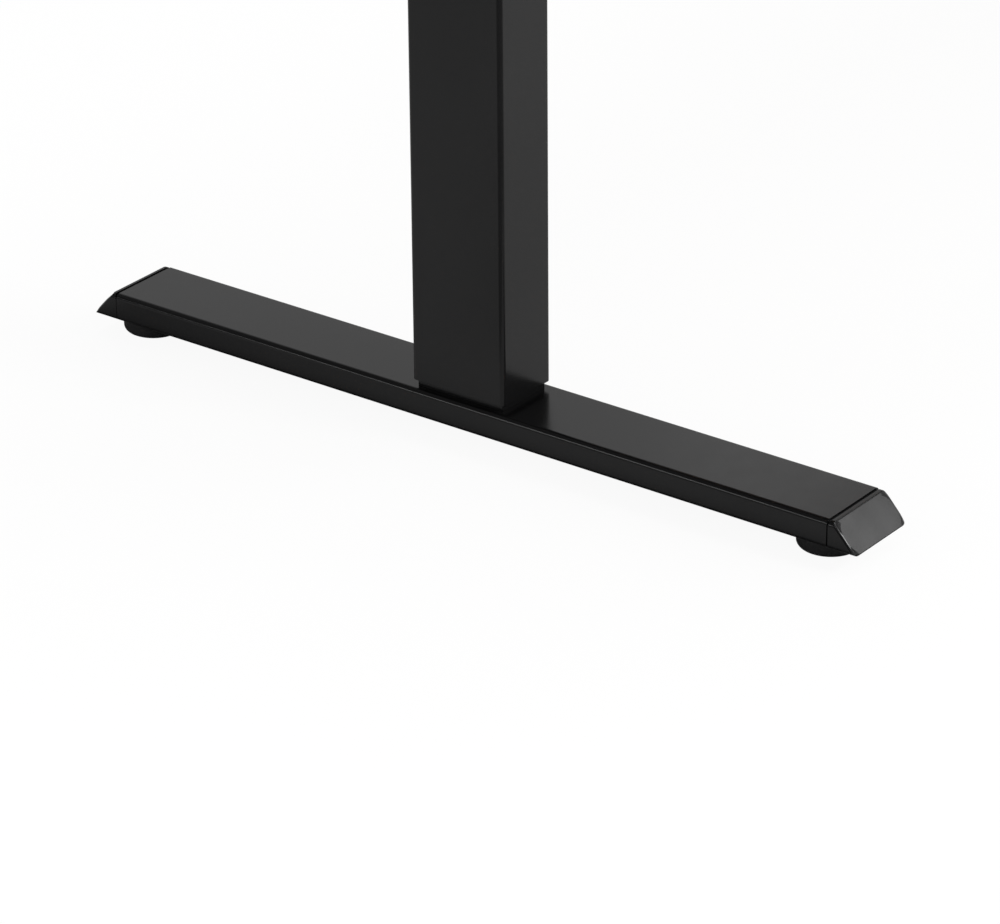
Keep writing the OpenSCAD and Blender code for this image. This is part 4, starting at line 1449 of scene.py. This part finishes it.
@dataclass(frozen=True)
class UpperFrame:
    """The moving columns with their heads, drives, rails and side arms.

    The weld bead's rows are how far it stands out from the tube and down from the tube's top,
    as shares of its size.
    """

    body: str = "upper_frame"
    tube_radius: float = 1.75 * MM
    weld: float = 2.2 * MM
    weld_overlap: float = 0.1 * MM
    weld_bead: tuple[Pair, ...] = ((0.0, 1.1), (0.3, 1.0), (0.9, 0.62), (1.0, 0.35),
                                   (0.95, 0.12), (0.8, 0.0))
    case_ribs: int = 7
    rib_width: float = 2.0 * MM
    rib_margin: float = 7.0 * MM
    rib_shortening: float = 12.0 * MM
    rib_out: float = 0.3 * MM
    cover_height: float = 10.0 * MM

    def build(self) -> None:
        """Makes and dresses the frame and its drives."""
        for side in Side:
            self.column(side)
            self.plain(f"{side.word}_side_arm", 0.7 * MM)
        self.plain("crossbeam_rails", 0.5 * MM)
        self.gear_cases()
        shape = Shape()
        for sign in (-1, 1):
            Motor().add(shape, Span.of("motors"), sign)
        detail("motors", shape.mesh(), MOTOR_PAINT, self.body)
        Screws("frame_bolts", Drive.HEX, self.body).build()
        dress_node("slide_sleeves", ACETAL)
        dress_node("spindle_bearings", ZINC_PLATE)

    def plain(self, node: str, width: float) -> None:
        """A coated node's own shape with rounded edges."""
        soften_node(node, width, BLACK_COAT, self.body)

    def column(self, side: Side) -> None:
        """An inner tube, its head and the weld between them.

        Args:
            side: The leg that it belongs to.
        """
        tube = f"{side.word}_inner_tube"
        self.plain(tube, 0.3 * MM)
        self.plain(f"{side.word}_column_head", 0.6 * MM)
        span = Span.of(tube)
        section = Section.over(span, Axis.Z, self.tube_radius, 8)
        top, bottom = span.hi.z, span.hi.z - self.weld_bead[0][1] * self.weld
        rings = [section.inset(self.weld_overlap - out * self.weld)
                 .ring(Axis.Z, top - down * self.weld) for out, down in self.weld_bead]
        rings += [section.inset(self.weld).ring(Axis.Z, place) for place in (top, bottom)]
        shape = Shape()
        shape.loft(rings, joined=True)
        place_piece(f"{side.word}_head_weld", shape.mesh(), BLACK_COAT, self.body)

    def gear_cases(self) -> None:
        """The gear cases with ribs on their sides and a parting line under their covers."""
        meshes = [softened("gear_cases", 0.9 * MM)]
        for points in solids("gear_cases"):
            span = Span.around(points)
            if span.size.z < self.cover_height:
                continue
            step = (span.size.x - 2 * self.rib_margin) / (self.case_ribs - 1)
            size = (self.rib_width, self.rib_width, span.size.z - self.rib_shortening)
            for y in (span.lo.y - self.rib_out, span.hi.y + self.rib_out):
                first = Vector((span.lo.x + self.rib_margin, y, span.centre.z))
                row = RibRow(f"case_ribs_{len(meshes)}", size, first,
                             Vector((step, 0.0, 0.0)), self.case_ribs)
                meshes.append(row.mesh(GEAR_CASE_PLASTIC))
        detail("gear_cases", joined(meshes), GEAR_CASE_PLASTIC, self.body)


# ---------------------------------------------------------------- desktop


@dataclass(frozen=True)
class Desktop:
    """The laminated top with its edge band, grommets, rubber pads and screws."""

    body: str = "upper_frame"
    band: float = 2.0 * MM
    corner: float = 12.0 * MM
    edge: float = 0.9 * MM

    def build(self) -> None:
        """Makes and dresses the desktop."""
        soften_node("desktop", 0.15 * MM, TOP_LAMINATE, self.body, 2)
        span = Span.of("edge_band")
        shape = Shape()
        shape.tube(Section.over(span, Axis.Z, self.corner, 16), self.band, Axis.Z,
                   span.lo.z, span.hi.z, rim_profile(self.edge, 5))
        detail("edge_band", shape.mesh(), BAND_LAMINATE, self.body)
        soften_node("grommet_sleeves", 0.8 * MM, GROMMET_PLASTIC, self.body)
        soften_node("grommet_caps", 0.7 * MM, GROMMET_PLASTIC, self.body)
        soften_node("rubber_pads", 0.5 * MM, BLACK_RUBBER, self.body)
        Screws("desktop_screws", Drive.CROSS, self.body, key_share=0.7).build()


# ---------------------------------------------------------------- controls


@dataclass(frozen=True)
class Socket:
    """A socket in the control box's back wall.

    Each pin has its place across and up from the socket's middle, its width and its height,
    all in millimetres.
    """

    x: float
    depth: float
    pins: tuple[tuple[float, float, float, float], ...]


MAINS_PINS = ((-7, 2, 2, 5), (7, 2, 2, 5), (0, -2.5, 2, 5))
MOTOR_PINS = tuple((x, z, 1.6, 1.6) for x in (-4.5, -1.5, 1.5, 4.5) for z in (-2, 2))
HANDSET_PINS = tuple((-3 + 1.2 * pin, 3.2, 0.5, 0.8) for pin in range(6))


@dataclass(frozen=True)
class ControlBox:
    """The control box under the desktop."""

    body: str = "upper_frame"
    sockets: tuple[Socket, ...] = (
        Socket(-80 * MM, 13 * MM, MAINS_PINS), Socket(-25 * MM, 11 * MM, MOTOR_PINS),
        Socket(15 * MM, 11 * MM, MOTOR_PINS), Socket(60 * MM, 10 * MM, HANDSET_PINS))
    rib_pitch: float = 8.0 * MM
    rib_width: float = 3.0 * MM
    rib_depth: float = 1.6 * MM
    rib_out: float = 0.2 * MM
    under_rib_length: float = 150 * MM
    front_margins: Pair = (60 * MM, 14 * MM)
    under_margin: float = 30 * MM
    pin_middle: float = 0.3
    pin_length: float = 0.8
    pin_rim: float = 0.2 * MM

    def build(self) -> None:
        """Makes and dresses the box, its cover, its sockets' pins and its boards."""
        node, pitch = "control_box_housing", self.rib_pitch
        housing = Span.of(node)
        aside, upright = self.front_margins
        count = int((housing.size.x - aside) / pitch)
        front = RibRow("front_ribs", (self.rib_width, self.rib_depth, housing.size.z - upright),
                       Vector((-pitch * (count - 1) / 2, housing.lo.y - self.rib_out,
                               housing.centre.z)), Vector((pitch, 0.0, 0.0)), count)
        rows = int((housing.size.y - self.under_margin) / pitch)
        under = RibRow("under_ribs", (self.under_rib_length, self.rib_width, self.rib_depth),
                       Vector((0.0, housing.centre.y - pitch * (rows - 1) / 2, housing.lo.z)),
                       Vector((0.0, pitch, 0.0)), rows)
        meshes = [softened(node, 1.4 * MM, 4)]
        meshes += [row.mesh(GRAINED_PLASTIC) for row in (front, under)]
        detail(node, joined(meshes), GRAINED_PLASTIC, self.body)
        soften_node("control_box_cover", 0.5 * MM, GRAINED_PLASTIC, self.body)
        self.pins(housing)
        dress_node("circuit_boards", BOARD_LAMINATE)

    def pins(self, housing: Span) -> None:
        """The pins of all sockets; their place and length are shares of a socket's depth.

        Args:
            housing: The housing's box.
        """
        shape = Shape()
        for socket in self.sockets:
            y = housing.hi.y - socket.depth + socket.depth * self.pin_middle
            for x, z, width, height in socket.pins:
                middle = Vector((socket.x + x * MM, y, housing.centre.z + z * MM))
                half = Vector((width * MM, socket.depth * self.pin_length, height * MM)) / 2
                shape.block(Span(middle - half, middle + half), self.pin_rim)
        place_piece("socket_pins", shape.mesh(), TURNED_BRASS, self.body)


class Glyph(Enum):
    """The prints on the handset's buttons, by button."""

    up_button = "up"
    down_button = "down"
    memory_1_button = "1"
    memory_2_button = "2"
    memory_3_button = "3"


HEIGHT_SHOWN = "720"
STROKES = {"0": "abcdef", "2": "abdeg", "7": "abc"}
STROKE_PLACES = {"a": (0, 1), "g": (0, 0), "d": (0, -1), "b": (1, 0.5), "c": (1, -0.5),
                 "e": (-1, -0.5), "f": (-1, 0.5)}
CHEVRON = ((-2.6, -1.8), (0.0, 0.8), (2.6, -1.8), (2.6, -0.7), (0.0, 1.9), (-2.6, -0.7))


@dataclass(frozen=True)
class Handset:
    """The handset under the desktop's front edge, with its display and buttons."""

    body: str = "upper_frame"
    digit: Pair = (3.9 * MM, 7.4 * MM)
    digit_gap: float = 2.3 * MM
    stroke: float = 0.75 * MM
    stroke_gap: float = 0.25 * MM
    stroke_depth: float = 0.06 * MM
    dot: float = 0.4 * MM
    proud: float = 0.04 * MM
    flange_width: float = 1.4 * MM
    flange_depth: float = 1.0 * MM
    button_rim: float = 0.7 * MM
    button_hollow: float = 0.25 * MM
    chevron_depth: float = 0.3 * MM
    number_size: float = 6.0 * MM
    number_depth: float = 0.17 * MM

    def build(self) -> None:
        """Makes and dresses the handset."""
        soften_node("handset_case", 0.9 * MM, GRAINED_PLASTIC, self.body, 4)
        soften_node("handset_display", 0.25 * MM, SMOKED_LENS, self.body)
        self.digits()
        for glyph in Glyph:
            self.button(glyph)

    def stroke_outline(self, centre: Pair, length: float, upright: bool) -> list[Pair]:
        """The outline of a digit's stroke, which has pointed ends.

        Args:
            centre: Its middle in X and Z.
            length: Its length, point to point.
            upright: It stands, rather than lies.

        Returns:
            Its six corners.
        """
        half, width = length / 2, self.stroke / 2
        points = [(-half, 0.0), (-half + width, -width), (half - width, -width), (half, 0.0),
                  (half - width, width), (-half + width, width)]
        return [(centre[0] + (v if upright else u), centre[1] + (u if upright else v))
                for u, v in points]

    def digits(self) -> None:
        """The height on the display, in seven segment figures."""
        lens = Span.of("handset_display")
        width, height = self.digit
        pitch = width + self.digit_gap
        middle, front = lens.centre, lens.lo.y - self.proud
        shape = Shape()
        for place, figure in enumerate(HEIGHT_SHOWN):
            x = middle.x + (place - 1) * pitch
            for across, up in (STROKE_PLACES[name] for name in STROKES[figure]):
                length = (height / 2 if across else width) - self.stroke_gap
                centre = (x + across * width / 2, middle.z + up * height / 2)
                outline = self.stroke_outline(centre, length, bool(across))
                shape.prism(outline, Axis.Y, front, front + self.stroke_depth)
        dot = (middle.x + pitch / 2, middle.z - height / 2)
        shape.lathe([(self.dot, front), (self.dot, front + self.stroke_depth)], Axis.Y, dot, 16)
        place_piece("display_digits", shape.mesh(), LIT_SEGMENT, self.body)

    def button(self, glyph: Glyph) -> None:
        """A button with a rounded rim, a slightly hollow top and its print.

        Args:
            glyph: Which button.
        """
        node = glyph.name
        span = Span.of(node)
        flange, centre = span.size.x / 2, Axis.Y.flat(span.centre)
        radius, step = flange - self.flange_width, span.hi.y - self.flange_depth
        front, back = span.lo.y, span.hi.y
        profile = [(POLE, back), (flange, back), (flange, step), (radius, step)]
        profile += [(radius - inset, front + off)
                    for inset, off in reversed(rim_profile(self.button_rim))]
        profile += [(radius * share, front + self.button_hollow * (1 - share ** 2))
                    for share in (0.8, 0.6, 0.4, 0.2, 0.01)]
        shape = Shape()
        shape.lathe(profile, Axis.Y, centre)
        detail(node, shape.mesh(), BUTTON_PLASTIC, node)
        place_piece(node + "_print", self.printed(glyph, centre, front), BUTTON_PRINT, node)

    def printed(self, glyph: Glyph, centre: Pair, front: float) -> bpy.types.Mesh:
        """The print on a button: a chevron or a plain number.

        Args:
            glyph: Which print.
            centre: The button's middle in X and Z.
            front: Y of the button's front.

        Returns:
            The print's mesh.
        """
        if not glyph.value.isdigit():
            sign = 1 if glyph is Glyph.up_button else -1
            shape = Shape()
            shape.prism([(centre[0] + u * MM, centre[1] + sign * v * MM) for u, v in CHEVRON],
                        Axis.Y, front - self.proud, front + self.chevron_depth)
            return shape.mesh()
        text = bpy.data.curves.new(glyph.name, "FONT")
        text.body, text.size, text.extrude = glyph.value, self.number_size, self.number_depth
        text.align_x = text.align_y = "CENTER"
        mesh = evaluated(carrier(glyph.name + "_text", text))
        place = (centre[0], front + self.number_depth - self.proud, centre[1])
        mesh.transform(Matrix.Translation(place) @ Matrix.Rotation(math.pi / 2, 4, "X"))
        return mesh


# ---------------------------------------------------------------- studio


@dataclass(frozen=True)
class Softbox:
    """A square or oblong lamp that faces a point."""

    name: str
    place: Triple
    aim: Triple
    size: float
    power: float
    height: float | None = None

    def build(self) -> None:
        """Adds the lamp."""
        light = bpy.data.lights.new(self.name, "AREA")
        light.shape = "RECTANGLE"
        light.size, light.size_y = self.size, self.height or self.size
        light.energy = self.power
        way = Vector(self.aim) - Vector(self.place)
        obj = carrier(self.name, light)
        obj.location = self.place
        obj.rotation_euler = way.to_track_quat("-Z", "Y").to_euler()
        obj.visible_camera = False


@dataclass(frozen=True)
class Studio:
    """Camera, lamps, floor and surroundings.

    A fade is the range of a direction, a place or a distance over which a share goes from
    0 to 1, or from its third value to its fourth.
    """

    lens: float = 176.915
    eye: Triple = (-2.884178, -1.773946, 1.416089)
    forward: Triple = (0.715455, 0.541554, -0.441411)
    roll: float = math.radians(0.504)
    haze: float = 0.85
    ceiling: float = 0.2
    ceiling_fade: Pair = (0.66, 0.80)
    left_wall: float = 0.2
    right_wall: float = 0.92
    wall_fade: Pair = (-0.45, -0.15)
    floor_size: float = 9.0
    floor_levels: Pair = (-0.02, -0.2 * MM)
    floor_tone: float = 0.9
    floor_glow: float = 0.93
    floor_mirror: float = 0.6
    # The shares and fades below paint shade into the floor's mirror image only: a painted contact
    # shadow by ray length, and painted dark patches before the left column and behind its foot.
    contact_share: float = 0.85
    contact_fade: Pair = (0.02, 0.054)
    dim_share: float = 0.75
    column_spot: Triple = (-0.56, 0.0, 0.0)
    column_way: Triple = (-0.64, -0.77, 0.0)
    sector_fade: Pair = (0.15, 0.45)
    left_fade: Pair = (-0.71, -0.77)
    front_fade: Pair = (-0.4, -0.46)
    foot_fade: Pair = (-0.665, -0.648)
    foot_back_fade: tuple[float, ...] = (-0.03, 0.3, 0.0, 0.85)
    foot_end_fade: Pair = (0.35, 0.325)
    lamps: tuple[Softbox, ...] = (
        Softbox("front_right_softbox", (1.24, -1.48, 2.4), (-0.56, -0.29, 0.03), 1.1, 12.0),
        Softbox("low_front_right_softbox", (0.022, -0.776, 0.349), (-0.56, -0.33, 0.03),
                0.22, 0.85),
        Softbox("back_left_softbox", (-4.36, 2.3, 1.35), (-0.59, -0.15, 0.03), 1.15, 22.0, 0.5),
        Softbox("front_softbox", (-0.09, -2.62, 2.05), (-0.56, -0.3, 0.03), 0.7, 44.0),
        Softbox("back_right_softbox", (1.8, 1.0, 1.4), (-0.56, -0.29, 0.03), 0.8, 0.7),
        Softbox("overhead_softbox", (0.0, 0.1, 3.4), (0.0, 0.0, 0.0), 2.0, 62.0))

    def build(self) -> None:
        """Sets up everything around the desk."""
        self.camera()
        self.surroundings()
        self.floor()
        for lamp in self.lamps:
            lamp.build()
        bpy.context.scene.view_settings.view_transform = "Standard"

    def camera(self) -> None:
        """Adds the camera."""
        data = bpy.data.cameras.new("camera")
        data.lens, data.sensor_width, data.sensor_fit = self.lens, 36.0, "HORIZONTAL"
        ahead = Vector(self.forward).normalized()
        right = ahead.cross(Vector((0, 0, 1))).normalized()
        down = ahead.cross(right)
        across = math.cos(self.roll) * right + math.sin(self.roll) * down
        below = math.cos(self.roll) * down - math.sin(self.roll) * right
        turn = Matrix((across, -below, -ahead)).transposed().to_4x4()
        obj = carrier("camera", data)
        obj.matrix_world = Matrix.Translation(self.eye) @ turn
        bpy.context.scene.camera = obj

    def surroundings(self) -> None:
        """A world that is white to the camera, pale round the horizon and dimmer overhead."""
        world = bpy.data.worlds.new("surroundings")
        bpy.context.scene.world = world
        world.use_nodes = True
        tree = Nodes(world.node_tree)
        way = tree.parts(tree.add("ShaderNodeTexCoord").outputs["Generated"])
        overhead = tree.spread(way[2], *self.ceiling_fade)
        wall = tree.spread(way[0], *self.wall_fade, self.left_wall, self.right_wall)
        seen, mirrored = self.rays(tree)
        level = tree.mix(overhead, tree.mix(mirrored, self.haze, wall), self.ceiling)
        background = world.node_tree.nodes["Background"]
        tree.feed(background.inputs["Strength"], tree.mix(seen, level, 1.0))
        tree.feed(background.inputs["Color"], (1, 1, 1))

    @staticmethod
    def rays(tree: Nodes) -> tuple[Output, Output]:
        """Which rays come from the camera, and which from a mirroring or clear surface.

        Args:
            tree: The tree that asks.

        Returns:
            The two masks, each 0 or 1.
        """
        path = tree.add("ShaderNodeLightPath").outputs
        mirrored = tree.math("MAXIMUM", path["Is Glossy Ray"], path["Is Transmission Ray"])
        return path["Is Camera Ray"], mirrored

    def dimmed(self, tree: ShaderTree) -> Output:
        """Painted shade on the floor's mirror image: darker patches before the left column and
        behind its foot.

        Args:
            tree: The floor's shader.

        Returns:
            The share of painted shade taken from the image, from 0 to 1.
        """
        # Painted shade: a mask by place on the floor, which darkens only its reflection.
        way = tree.vectors("NORMALIZE", tree.vectors("SUBTRACT", tree.place, self.column_spot))
        facing = tree.vectors("DOT_PRODUCT", way, self.column_way)
        x, y = tree.parts(tree.place)[:2]
        away = tree.math("MAXIMUM", tree.spread(x, *self.left_fade),
                         tree.spread(y, *self.front_fade))
        before = tree.product(tree.spread(facing, *self.sector_fade), away)
        behind = tree.product(tree.spread(x, *self.foot_fade), tree.spread(y, *self.foot_back_fade),
                              tree.spread(y, *self.foot_end_fade))
        return tree.product(tree.math("MAXIMUM", before, behind), self.dim_share)

    def floor(self) -> None:
        """A pale floor that shows white to the camera and keeps the desk's shadow; its mirror image
        also carries painted shade: a painted contact shadow where reflected rays are short, and
        painted dark patches by the left leg.
        """
        far, shape = self.floor_size, Shape()
        shape.prism([(-far, -far), (far, -far), (far, far), (-far, far)], Axis.Z,
                    *self.floor_levels)
        tree = ShaderTree("studio_floor")
        tree.set(Roughness=0.9, Specular_IOR_Level=0.0)
        glow = tree.add("ShaderNodeEmission", {"Color": (1, 1, 1), "Strength": 1.0}).outputs[0]
        seen, mirrored = self.rays(tree)
        distance = tree.add("ShaderNodeLightPath").outputs["Ray Length"]
        # Painted contact shadow: the floor's mirror image darkens where a reflected ray is short,
        # and inside the painted dark patches.
        clear = tree.product(tree.spread(distance, *self.contact_fade),
                             tree.math("SUBTRACT", 1.0, self.dimmed(tree)))
        painted_shade = tree.product(mirrored, tree.math("SUBTRACT", 1.0, clear))
        kept = tree.math("SUBTRACT", 1.0, tree.product(painted_shade, self.contact_share))
        # The floor's colour and glow are cut for mirrored rays only: painted shade in its
        # reflection, not in what the camera sees directly.
        tree.set(Base_Color=tree.product(kept, self.floor_tone))
        share = tree.math("MAXIMUM", tree.product(seen, self.floor_glow),
                          tree.product(mirrored, tree.product(clear, self.floor_mirror)))
        surface = tree.add("ShaderNodeMixShader", {0: share, 1: tree.shader.outputs[0], 2: glow})
        tree.feed(tree.tree.nodes["Material Output"].inputs["Surface"], surface.outputs[0])
        floor = carrier("studio_floor", shape.mesh())
        floor.data.materials.append(tree.material)


# ---------------------------------------------------------------- the whole


def main() -> None:
    """Builds the desk's looks and its studio."""
    logging.basicConfig(level=logging.INFO, format="%(name)s: %(message)s")
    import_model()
    for assembly in (Leg(Side.LEFT), Leg(Side.RIGHT), UpperFrame(), Desktop(), ControlBox(),
                     Handset(), Studio()):
        assembly.build()


if __name__ == "__main__":
    main()
